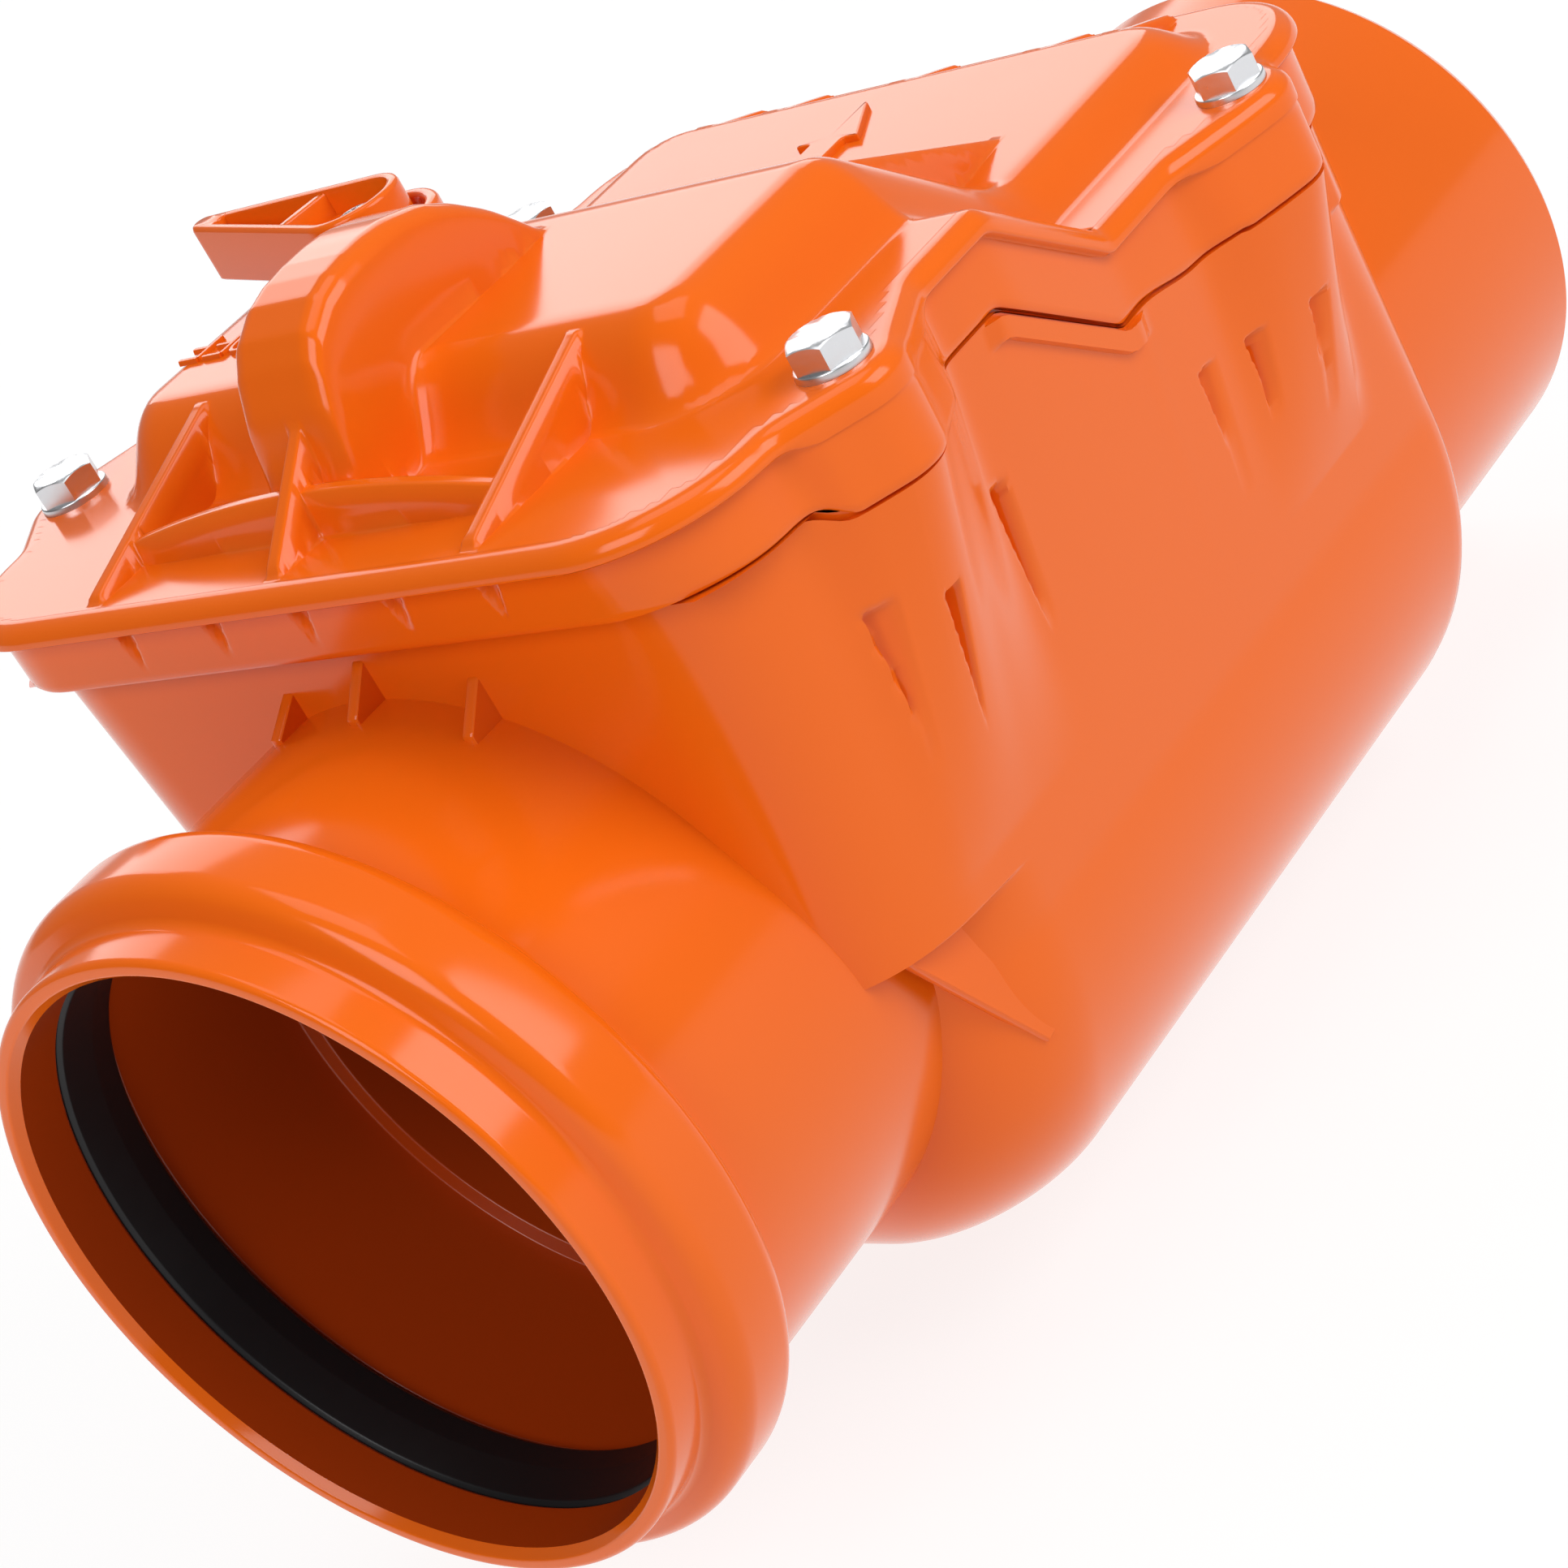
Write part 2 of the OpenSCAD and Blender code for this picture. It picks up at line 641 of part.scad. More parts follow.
module cover_gasket() {
    color("black") difference() {
        intersection() {
            step_slab(plate_t, plate_t + gasket_t);
            linear_extrude(far) rim_plan();
        }
        translate([0, 0, -1]) linear_extrude(far) chamber_plan();
    }
}
module cover_bolts() {
    color("silver") for (b = bolts) translate(b) {
        translate([0, 0, washer_t]) cylinder(h = bolt_head_h, r = bolt_af / sqrt(3), $fn = 6);
        translate([0, 0, washer_t - bolt_len]) cylinder(h = bolt_len, r = bolt_d / 2);
    }
}
module bolt_washers() {
    color("silver") for (b = bolts) translate(b) difference() {
        cylinder(h = washer_t, r = bolt_d);
        translate([0, 0, -1]) cylinder(h = washer_t + 2, r = bolt_d / 2 + bolt_clear);
    }
}
module thread_inserts() {
    color("goldenrod") for (b = bolts) translate([b[0], b[1], b[2] - skirt_h - gap - insert_h]) difference() {
        cylinder(h = insert_h, r = insert_r);
        translate([0, 0, -1]) cylinder(h = insert_h + 2, r = bolt_d / 2);
    }
}
module socket_seal() {
    lip_in = bore_r - 0.2;
    color("black") along_x() rotate_extrude() {
        translate([groove_r - 2.6, seal_x - seal_w / 2]) square([2.6, seal_w]);
        polygon([[groove_r - 2.6, seal_x - seal_w / 2], [groove_r - 2.6, seal_x - seal_w / 2 + 3],
                 [lip_in + 1, seal_x + seal_w / 2 - 1], [lip_in, seal_x + seal_w / 2 - 2],
                 [lip_in + 0.4, seal_x + seal_w / 2 - 4]]);
    }
}
module hinge_pin() {
    color("silver") translate([hinge_x, hump_y, hinge_z]) along_y() difference() {
        cylinder(h = 2 * pin_end, r = pin_r, center = true);
        for (s = [-1, 1]) translate([0, 0, s * (lug_out + side_gap / 2 + clip_t / 2)]) difference() {
            cylinder(h = clip_t, r = pin_r + 1, center = true);
            cylinder(h = clip_t, r = pin_r - clip_groove, center = true);
        }
    }
}
module pin_clips() {
    color("dimgray") for (s = [-1, 1])
        translate([hinge_x, hump_y + s * (lug_out + side_gap / 2 + clip_t / 2), hinge_z]) along_y() difference() {
            cylinder(h = clip_t, r = pin_r + 1.6, center = true);
            cylinder(h = clip_t + 1, r = pin_r - clip_groove, center = true);
            translate([0, -pin_r, 0]) cube([2 * (pin_r - 1), 2 * pin_r, clip_t + 1], center = true);
        }
}

// Flap parts, drawn with the hinge axis at the origin and the closed flap hanging down
module on_flap() { translate([hinge_x, 0, hinge_z]) rotate([0, -flap_tilt, 0]) children(); }
module flap_disc(n, t, r) { translate([n, 0, -flap_s]) along_x() cylinder(h = t, r = r); }
module screw_places() {
    for (i = [0 : retainer_count - 1])
        translate([0, 0, -flap_s]) rotate([(i + 0.5) * 360 / retainer_count, 0, 0]) translate([0, 0, screw_ring_r])
            children();
}
module hanger_places() {
    for (y = [-1, 1] * (pad_w / 2 - 6), z = [-14, 14]) translate([back_n, y, -flap_s + z]) along_x() children();
}
module flap_plate() {
    color("dimgray") on_flap() difference() {
        union() {
            flap_disc(plate_n, flap_t, flap_r);
            translate([back_n - eps, 0, -flap_s]) along_x() difference() {
                cylinder(h = 3 + eps, r = flap_r);
                translate([0, 0, -1]) cylinder(h = 6, r = flap_r - 3);
            }
        }
        translate([back_n, hump_y - hub_w / 2, -flap_s + flap_r - 10]) cube([10, hub_w, 20]);
        screw_places() translate([plate_n - 1, 0, 0]) along_x() cylinder(h = flap_t + 2, r = 1.5);
        hanger_places() translate([0, 0, -flap_t]) cylinder(h = flap_t + 1, r = 2);
    }
}
module flap_seal() {
    color("black") on_flap() difference() {
        flap_disc(seal_n, seal_t, flap_r - 0.5);
        flap_disc(seal_n - 1, seal_t + 2, retainer_r + 0.1);
    }
}
module seal_retainer() {
    color("silver") on_flap() difference() {
        flap_disc(plate_n - retainer_t, retainer_t, retainer_r);
        flap_disc(plate_n - retainer_t - 1, retainer_t + 2, retainer_in_r);
        screw_places() translate([plate_n - retainer_t - 1, 0, 0]) along_x() cylinder(h = retainer_t + 2, r = 1.5);
    }
}
module retainer_screws() {
    color("silver") on_flap() screw_places() {
        translate([plate_n - retainer_t - 1.2, 0, 0]) along_x() cylinder(h = 1.2, r = 2.8);
        translate([plate_n - retainer_t, 0, 0]) along_x() cylinder(h = flap_t + retainer_t, r = 1.5);
    }
}
module flap_hanger() {
    color("gray") on_flap() difference() {
        union() {
            translate([0, hump_y, 0]) along_y() cylinder(h = hub_w, r = hub_r, center = true);
            translate([0, hump_y, 0]) side_profile(hub_w - 4) polygon([
                [-3, -5], [back_n + 5, 0], [back_n + 5, -flap_s + pad_up - 1], [back_n, -flap_s + pad_up - 1],
                [back_n, -flap_s + flap_r + 2], [back_n - 5, -flap_s + flap_r + 2]]);
            translate([back_n, -pad_w / 2, -flap_s - pad_down]) cube([pad_t, pad_w, pad_down + pad_up]);
            lock_arm_form();
        }
        translate([0, hump_y, 0]) along_y() cylinder(h = hub_w + 2, r = pin_r + bush_t, center = true);
        hanger_places() translate([0, 0, -1]) cylinder(h = 6, r = 2);
    }
}
// Sector about the hinge axis that rises into the hump as the flap opens
module lock_arm_form() {
    translate([0, hump_y, 0]) rotate([0, flap_tilt, 0]) side_profile(arm_w) intersection() {
        circle(arm_r);
        polygon([[0, 0], 2 * arm_r * [cos(arm_from), sin(arm_from)], 2 * arm_r * [1, 0],
                 2 * arm_r * [cos(arm_to), sin(arm_to)]]);
    }
}
module hanger_screws() {
    color("silver") on_flap() hanger_places() {
        translate([0, 0, pad_t]) cylinder(h = 2.4, r = 3.6);
        translate([0, 0, -flap_t + 0.2]) cylinder(h = flap_t + pad_t - 0.2, r = 2);
    }
}
module hinge_bushes() {
    color("white") on_flap() for (s = [-1, 1]) translate([0, hump_y + s * hub_w / 4, 0]) along_y() difference() {
        cylinder(h = hub_w / 2 - 2, r = pin_r + bush_t, center = true);
        cylinder(h = hub_w, r = pin_r + run_clear, center = true);
    }
}

// Lever parts, about the lever axis; the lever points along +X before it is turned
module on_lever() { translate([lever_x, lever_y, 0]) rotate(90 - lever_rest) children(); }
module lever_outline(g) {
    hull() {
        circle(lever_hub_r + g, $fn = 64);
        translate([lever_len - lever_tip_r, 0]) circle(lever_tip_r + g, $fn = 32);
    }
}
module lever() {
    web_x = lever_hub_r + 4;
    color("darkorange") on_lever() difference() {
        translate([0, 0, lever_z]) linear_extrude(lever_h) lever_outline(0);
        difference() {
            translate([0, 0, lever_z - 1]) linear_extrude(lever_h + 2) intersection() {
                lever_outline(-lever_wall);
                translate([-far / 2, -far / 2]) square([far / 2 + lever_len - lever_end, far]);
            }
            translate([-far / 2, -far / 2, lever_z - 2]) cube([far / 2 + web_x, far, lever_floor - lever_z + 2]);
            translate([web_x, -far / 2, 0]) cube([lever_wall, far, far]);
        }
        translate([0, 0, lever_z - 1]) linear_extrude(lever_h - 5.3) square(spindle_square, center = true);
        translate([0, 0, lever_z - 1]) cylinder(h = lever_h + 2, r = 2.2);
    }
}
// Round collar on the spindle with a slot that turns with the lever
module lever_collar() {
    h = collar_base + collar_h;
    slot = lever_hub_r + 0.3;
    color("darkorange") on_lever() difference() {
        translate([0, 0, lever_z - collar_base]) rotate_extrude() {
            square([collar_r, h - collar_edge]);
            square([collar_r - collar_edge, h]);
            translate([collar_r - collar_edge, h - collar_edge]) circle(collar_edge);
        }
        translate([0, 0, lever_z]) cylinder(h = h, r = collar_r - collar_t);
        translate([0, -slot, lever_z]) cube([2 * collar_r, 2 * slot, h]);
        cylinder(h = far, r = spindle_d / 2 + run_clear);
    }
}
module lever_screw() {
    color("silver") on_lever() {
        translate([0, 0, lever_floor]) intersection() {
            cylinder(h = 2.8, r = 4.2);
            translate([0, 0, -4]) sphere(r = 6.8);
        }
        translate([0, 0, lever_floor - 12]) cylinder(h = 12, r = 2);
    }
}
module lock_spindle() {
    square_top = lever_z + lever_h - 6.5 - gap;
    color("silver") on_lever() difference() {
        union() {
            translate([0, 0, finger_z]) cylinder(h = lever_z - gap / 2 - finger_z, r = spindle_d / 2);
            translate([0, 0, lever_z - gap]) linear_extrude(square_top - lever_z + gap)
                square(spindle_square - 0.1, center = true);
        }
        translate([0, 0, lever_floor - 13]) cylinder(h = 20, r = 2);
        for (z = o_ring_z) translate([0, 0, z]) o_ring_groove();
        translate([0, 0, finger_z - 1]) cylinder(h = finger_screw_l + 1.5, r = 1.6);
        finger_flats();
    }
}
module o_ring_groove() {
    difference() {
        cylinder(h = 2, r = spindle_d);
        translate([0, 0, -1]) cylinder(h = 4, r = spindle_d / 2 - 1.5);
    }
}
// Flats at the foot of the spindle that key the lock finger
module finger_flats() {
    for (s = [-1, 1]) translate([s * (key_hw + spindle_d / 2), 0, finger_z + finger_t / 2 - eps])
        cube([spindle_d, 2 * spindle_d, finger_t + 2 * eps], center = true);
}
module spindle_o_rings() {
    color("black") on_lever() for (z = o_ring_z) translate([0, 0, z + 0.1]) difference() {
        cylinder(h = 1.8, r = spindle_d / 2);
        translate([0, 0, -1]) cylinder(h = 4, r = spindle_d / 2 - 1.5);
    }
}
module lock_finger() {
    color("gray") on_lever() translate([0, 0, finger_z]) rotate(90 + lever_rest - 8) difference() {
        linear_extrude(finger_t) {
            circle(spindle_d / 2 + 2.5);
            translate([0, -4]) square([finger_len - 4, 8]);
            translate([finger_len - 4, 0]) circle(4);
        }
        translate([0, 0, -1]) linear_extrude(finger_t + 2) rotate(-90 - lever_rest + 8) intersection() {
            circle(spindle_d / 2 + run_clear);
            square([2 * (key_hw + run_clear), 2 * spindle_d], center = true);
        }
    }
}
module finger_screw() {
    color("silver") on_lever() translate([0, 0, finger_z]) {
        translate([0, 0, -2.2]) cylinder(h = 2.2, r = spindle_d / 2 + 1);
        cylinder(h = finger_screw_l, r = 1.6);
    }
}

valve_body();
cover();
cover_gasket();
cover_bolts();
bolt_washers();
thread_inserts();
socket_seal();
hinge_pin();
pin_clips();
flap_plate();
flap_seal();
seal_retainer();
retainer_screws();
flap_hanger();
hanger_screws();
hinge_bushes();
lever();
lever_collar();
lever_screw();
lock_spindle();
spindle_o_rings();
lock_finger();
finger_screw();
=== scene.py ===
import math

import bpy
import numpy as np
from mathutils import Matrix


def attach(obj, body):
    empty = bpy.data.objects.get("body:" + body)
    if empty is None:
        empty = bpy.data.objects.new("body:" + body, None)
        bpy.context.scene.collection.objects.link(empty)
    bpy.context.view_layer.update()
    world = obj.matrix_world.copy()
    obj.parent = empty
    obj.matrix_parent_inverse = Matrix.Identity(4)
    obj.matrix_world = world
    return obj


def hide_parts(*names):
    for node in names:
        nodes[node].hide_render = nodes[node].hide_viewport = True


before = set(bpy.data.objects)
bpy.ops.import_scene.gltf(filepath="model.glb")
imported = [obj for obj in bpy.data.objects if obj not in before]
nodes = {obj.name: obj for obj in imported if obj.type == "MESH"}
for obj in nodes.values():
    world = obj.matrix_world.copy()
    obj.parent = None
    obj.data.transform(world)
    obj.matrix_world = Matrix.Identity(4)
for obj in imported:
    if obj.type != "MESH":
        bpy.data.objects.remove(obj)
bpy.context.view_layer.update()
print("frame loaded")


# Materials


# Principled finish in one colour, with an optional fine grain in its roughness
def makeMaterial(name, color, rough, metal=0.0, grain=0.0, grainScale=400.0):
    mat = bpy.data.materials.new(name)
    mat.use_nodes = True
    tree = mat.node_tree
    bsdf = tree.nodes["Principled BSDF"]
    bsdf.inputs["Base Color"].default_value = (*color, 1)
    bsdf.inputs["Metallic"].default_value = metal
    bsdf.inputs["Roughness"].default_value = rough
    if grain:
        coord = tree.nodes.new("ShaderNodeTexCoord")
        noise = tree.nodes.new("ShaderNodeTexNoise")
        noise.inputs["Scale"].default_value = grainScale
        noise.inputs["Detail"].default_value = 3
        spread = tree.nodes.new("ShaderNodeMapRange")  # noise to a narrow band of roughness
        spread.inputs["To Min"].default_value = rough - grain
        spread.inputs["To Max"].default_value = rough + grain
        tree.links.new(coord.outputs["Object"], noise.inputs["Vector"])
        tree.links.new(noise.outputs["Fac"], spread.inputs["Value"])
        tree.links.new(spread.outputs["Result"], bsdf.inputs["Roughness"])
    return mat


orange = makeMaterial("orangePlastic", (0.80, 0.13, 0.005), 0.14, grain=0.02, grainScale=60)
orange.node_tree.nodes["Principled BSDF"].inputs["Specular IOR Level"].default_value = 0.28
paintedShadeOrange = makeMaterial("paintedShadeOrange", (0.42, 0.045, 0.002), 0.3)  # painted shade: the orange plastic darkened for the inside of the socket
rubber = makeMaterial("blackRubber", (0.008, 0.008, 0.009), 0.38, grain=0.05, grainScale=300)
rubber.node_tree.nodes["Principled BSDF"].inputs["Specular IOR Level"].default_value = 0.3
zinc = makeMaterial("zincSteel", (0.72, 0.73, 0.75), 0.3, metal=1, grain=0.06, grainScale=900)
steel = makeMaterial("stainlessSteel", (0.6, 0.61, 0.62), 0.32, metal=1, grain=0.06, grainScale=700)
brass = makeMaterial("turnedBrass", (0.75, 0.55, 0.25), 0.3, metal=1)
grey = makeMaterial("greyPlastic", (0.045, 0.047, 0.05), 0.45, grain=0.05, grainScale=200)
white = makeMaterial("whitePlastic", (0.8, 0.8, 0.77), 0.4)


# Surface helpers, all in millimetres


# Quads of an nu by nv grid: each point with its next neighbours, wrapped where the grid is closed
def gridFaces(nu, nv, closeU=False, closeV=False):
    u = np.arange(nu if closeU else nu - 1)
    v = np.arange(nv if closeV else nv - 1)
    a, b = np.meshgrid(u, v, indexing="ij")
    a, b = a.ravel(), b.ravel()
    c, d = (a + 1) % nu, (b + 1) % nv
    return np.stack([a * nv + b, c * nv + b, c * nv + d, a * nv + d], 1)


# Points and faces of a grid of points (u, v, xyz)
def gridPart(points, closeU=False, closeV=False, flip=False):
    nu, nv, _ = points.shape
    faces = gridFaces(nu, nv, closeU, closeV)
    return points.reshape(-1, 3), faces[:, ::-1] if flip else faces


# One mesh in metres from parts of points and faces, riding its body
def makePiece(name, parts, material, body, sharp=42, replace=()):
    verts, faces, start = [], [], 0
    for v, f in parts:
        verts.append(np.asarray(v, float))
        faces.extend((np.asarray(f) + start).tolist())
        start += len(v)
    mesh = bpy.data.meshes.new(name)
    mesh.from_pydata((np.concatenate(verts) * 0.001).tolist(), [], faces)
    mesh.validate()
    mesh.shade_smooth()
    mesh.set_sharp_from_angle(angle=math.radians(sharp))
    mesh.materials.append(material)
    obj = bpy.data.objects.new(name, mesh)
    bpy.context.scene.collection.objects.link(obj)
    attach(obj, body)
    if replace:
        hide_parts(*replace)
    return obj


# Smaller of two heights, with a parabola of width k where they meet
def softMin(a, b, k):
    h = np.clip(0.5 + 0.5 * (b - a) / k, 0, 1)
    return b * (1 - h) + a * h - k * h * (1 - h)


# Larger of two heights, by the same parabola
def softMax(a, b, k):
    return -softMin(-a, -b, k)


# Smooth step from 0 at a to 1 at b: three t squared less two t cubed
def ease(a, b, x):
    t = np.clip((x - a) / (b - a), 0, 1)
    return t * t * (3 - 2 * t)


# Height lost towards an edge: a quarter circle of radius r inside it, a steep wall outside it
def edgeDrop(d, r, steep):
    inside = np.clip(r - d, 0, r)
    drop = r - np.sqrt(np.maximum(r * r - inside * inside, 0))
    return np.where(d > 0, drop, r - d * steep)


# Turned surface about an axis along X: each profile point (x, r) becomes a circle at height z0
def turnX(profile, z0=0.0, count=160):
    p = np.asarray(profile, float)
    a = np.linspace(0, 2 * np.pi, count, endpoint=False)
    x = np.repeat(p[:, 0][None], count, 0)
    y = np.outer(np.sin(a), p[:, 1])
    z = z0 + np.outer(np.cos(a), p[:, 1])
    return gridPart(np.stack([x, y, z], 2), closeU=True, flip=True)


# Turned surface about a vertical axis: each profile point (r, z) becomes a circle
def turnZ(profile, cx, cy, count=64):
    p = np.asarray(profile, float)
    a = np.linspace(0, 2 * np.pi, count, endpoint=False)
    x = cx + np.outer(np.cos(a), p[:, 0])
    y = cy + np.outer(np.sin(a), p[:, 0])
    z = np.repeat(p[:, 1][None], count, 0)
    return gridPart(np.stack([x, y, z], 2), closeU=True)


# Profile with its corners replaced by arcs: each point is (x, r, fillet radius)
def rounded(points, steps=7):
    p = np.asarray(points, float)
    out = [p[:1, :2]]
    for (a, b, c), r in zip(zip(p[:-2, :2], p[1:-1, :2], p[2:, :2]), p[1:-1, 2]):
        if r <= 0:
            out.append(b[None])
            continue
        la, lc = np.linalg.norm(a - b), np.linalg.norm(c - b)
        u, v = (a - b) / la, (c - b) / lc
        half = math.acos(np.clip(u @ v, -1, 1)) / 2
        t = min(r / math.tan(half), 0.49 * la, 0.49 * lc)
        mid = b + (u + v) / np.linalg.norm(u + v) * t / math.cos(half)
        s, e = b + u * t - mid, b + v * t - mid
        w = np.linspace(0, math.atan2(s[0] * e[1] - s[1] * e[0], s @ e), steps)
        turned = [s[0] * np.cos(w) - s[1] * np.sin(w), s[0] * np.sin(w) + s[1] * np.cos(w)]
        out.append(mid + np.stack(turned, 1))
    return np.vstack(out + [p[-1:, :2]])


# Closed outline with even spacing
def evenLoop(points, count):
    p = np.vstack([points, points[:1]])
    s = np.concatenate([[0], np.cumsum(np.linalg.norm(np.diff(p, axis=0), axis=1))])
    t = np.linspace(0, s[-1], count, endpoint=False)
    return np.stack([np.interp(t, s, p[:, k]) for k in range(p.shape[1])], 1)


# Outline smoothed along its length by a bell curve, which rounds its corners
def smoothLoop(points, count, width):
    p = evenLoop(points, count)
    step = np.linalg.norm(p[1] - p[0])
    k = np.arange(-40, 41)
    w = np.exp(-0.5 * (k * step / width) ** 2)
    w /= w.sum()
    return np.stack([np.convolve(np.concatenate([c[-40:], c, c[:40]]), w, "valid") for c in p.T], 1)


# Unit normals of a loop: square to the line between the neighbours of each point, turned outwards
def outward(loop):
    t = np.roll(loop, -1, 0) - np.roll(loop, 1, 0)
    n = np.stack([t[:, 1], -t[:, 0]], 1) / np.linalg.norm(t, axis=1)[:, None]
    area = np.sum(loop[:, 0] * np.roll(loop[:, 1], -1) - loop[:, 1] * np.roll(loop[:, 0], -1))
    return n if area > 0 else -n


# Fan of triangles from a middle point to a loop at one height
def fan(loop, middle, z, flip=False):
    v = np.column_stack([np.vstack([loop, [middle]]), np.full(len(loop) + 1, z)])
    i = np.arange(len(loop))
    f = np.stack([i, (i + 1) % len(loop), np.full_like(i, len(loop))], 1)
    return v, f[:, ::-1] if flip else f


# Prism of a star-shaped outline: rings inset at both ends by a small edge, closed by fans from the middle
def prism(loop, low, high, edge, middle, place):
    n = outward(loop)
    rings = [(edge, low), (0, low + edge), (0, high - edge), (edge * 0.3, high - edge * 0.3), (edge, high)]
    pts = np.stack([np.column_stack([loop - n * w, np.full(len(loop), h)]) for w, h in rings], 1)
    inset = loop - n * edge
    parts = [gridPart(pts, closeU=True), fan(inset, middle, low, True), fan(inset, middle, high)]
    return [(place(v), f) for v, f in parts]


# Points of a circle from angle a0 to a1 in degrees
def arc(cx, cy, r, a0, a1, n):
    a = np.radians(np.linspace(a0, a1, n))
    return np.stack([cx + r * np.cos(a), cy + r * np.sin(a)], 1)


# Cover outline seen from above: half of it is listed from the front middle to the rear middle

flange = {"z": 83.0, "drop": 20.0, "front": 53.5, "rear": 245.3, "stepX": 137.5, "stepLen": 27.5,
          "hwIn": 83.5, "hwOut": 79.5, "corner": 24.0, "edge": 3.2, "lip": 3.4, "skirt": 14.0,
          "earDeep": 3.2, "rearDeep": 2.8, "wall": 3.4}
frontEar = {"x": 95.5, "y": 83.9, "r": 10.0, "from": 78.5, "to": 118.5, "shoulder": (88.2, 90.8)}
rearEar = {"x": 207.2, "y": 79.2, "r": 9.2, "from": 184.5, "to": 218.0, "shoulder": (201.0, 86.7)}
stepEnd = flange["stepX"] + flange["stepLen"]
bend = math.tan(math.atan(flange["drop"] / flange["stepLen"]) / 2)  # half the angle of the slope
bolts = [(ear["x"], side * ear["y"], z) for ear, z in
         ((frontEar, flange["z"]), (rearEar, flange["z"] - flange["drop"])) for side in (1, -1)]

corner = flange["corner"]
halfLine = np.vstack([
    [[flange["front"], 0]],
    arc(flange["front"] + corner, flange["hwIn"] - corner, corner, 180, 90, 24),
    [[frontEar["from"], flange["hwIn"]], frontEar["shoulder"]],
    arc(frontEar["x"], frontEar["y"], frontEar["r"], 132, 50, 12),
    [[frontEar["to"], flange["hwIn"]], [flange["stepX"], flange["hwIn"]], [stepEnd, flange["hwOut"]]],
    [[rearEar["from"], flange["hwOut"]], rearEar["shoulder"]],
    arc(rearEar["x"], rearEar["y"], rearEar["r"], 122, 40, 12),
    [[rearEar["to"], flange["hwOut"]]],
    arc(flange["rear"] - corner, flange["hwOut"] - corner, corner, 90, 0, 24),
    [[flange["rear"], 0]]])
outline = smoothLoop(np.vstack([halfLine, halfLine[-2:0:-1] * [1, -1]]), 1200, 1.5)
outNormal = outward(outline)
earLine = outline[outline[:, 1] > 78]
earLine = earLine[np.argsort(earLine[:, 0])]


# Half width of the flange without its ears: it narrows along the slope
def coreWidth(x):
    return np.interp(x, [flange["stepX"], stepEnd], [flange["hwIn"], flange["hwOut"]])


# How far the outline stands out past that half width
def earReach(x):
    return np.maximum(np.interp(x, earLine[:, 0], earLine[:, 1]) - coreWidth(x), 0)


# Skirt depth along X: deeper at the ears and along the lower level
def skirtDepth(x):
    atEar = flange["earDeep"] * ease(0.3, 4.0, earReach(x))
    return flange["skirt"] + np.maximum(atEar, flange["rearDeep"] * ease(166, 184, x))


# Flange height along X at a depth below its top: flat, a slope, then flat again, with the two bends rounded
def flangeLevel(x, depth=0.0):
    slope = flange["z"] - (x - flange["stepX"] + depth * bend) * flange["drop"] / flange["stepLen"]
    return softMax(softMin(flange["z"], slope, 1.0), flange["z"] - flange["drop"], 1.0) - depth


# Signed distance inside the cover outline, by the nearest outline segment
def insideOutline(x, y):
    p = np.stack([x, y], 1)
    a, b = outline[::2], np.roll(outline[::2], -1, 0)
    ab = b - a
    best, odd = [], []
    for q in np.array_split(p[:, None], len(p) // 4000 + 1):
        t = np.clip(((q - a) * ab).sum(2) / (ab * ab).sum(1), 0, 1)
        best.append(np.linalg.norm(q - a - t[..., None] * ab, axis=2).min(1))
        cross = (a[:, 1] > q[..., 1]) != (b[:, 1] > q[..., 1])
        at = a[:, 0] + (q[..., 1] - a[:, 1]) * ab[:, 0] / np.where(ab[:, 1] == 0, 1e-9, ab[:, 1])
        odd.append((cross & (q[..., 0] < at)).sum(1) % 2 == 1)
    best = np.concatenate(best)
    return np.where(np.concatenate(odd), best, -best)


# Cover top as a height over the plan: flange, dome with drafted walls, hump, ribs, joined by soft unions

dome = {"front": 87.0, "end": 233.0, "hwIn": 68.0, "hwOut": 64.6, "corner": 15.0, "top": 96.2, "low": 69.6,
        "edgeX": 138.4, "footX": 171.8, "draft": 0.42, "soft": 14.0, "foot": 6.0}
hump = {"y": 1.5, "half": 9.75, "edge": 4.0, "fillet": 7.0}
humpLine = np.array([
    [66, 76], [70, 83], [71.6, 86], [73.2, 89], [74.5, 92], [76.2, 99.6], [78.9, 105.9], [81.6, 109.6],
    [86.5, 112.5], [91, 113.7], [95.6, 114.2], [101, 114.3], [105.9, 114.0], [112.9, 112.2], [118.5, 109.1],
    [123.8, 105.0], [128.6, 100.0], [131.8, 95.6], [134.5, 91]])
frontRibs = {"from": 58.4, "z": 84.0, "half": 1.5, "y": (-41.5, 0.0, 41.5), "rise": (0.317, 0.78, 0.317)}
archRib = {"x": 70.1, "half": 1.4, "reach": 40.8, "top": 90.4, "bow": 430.0}
braces = {"from": 143.5, "to": 191.5, "half": 1.3, "top": 91.6, "y": (-46.4, 45.7), "lean": (0.093, 0.008)}
outletRibs = {"from": 226.0, "to": 240.9, "half": 1.9, "end": 65.4, "y": (-46.8, -30.0, 0.0, 30.0, 46.2)}


# Height of the dome along X: level, a slope, then level, with rounded bends
def domeRoof(x):
    slope = dome["top"] - (x - dome["edgeX"]) * (dome["top"] - dome["low"]) / (dome["footX"] - dome["edgeX"])
    return softMax(softMin(dome["top"], slope, 3.5), dome["low"], 3.5)


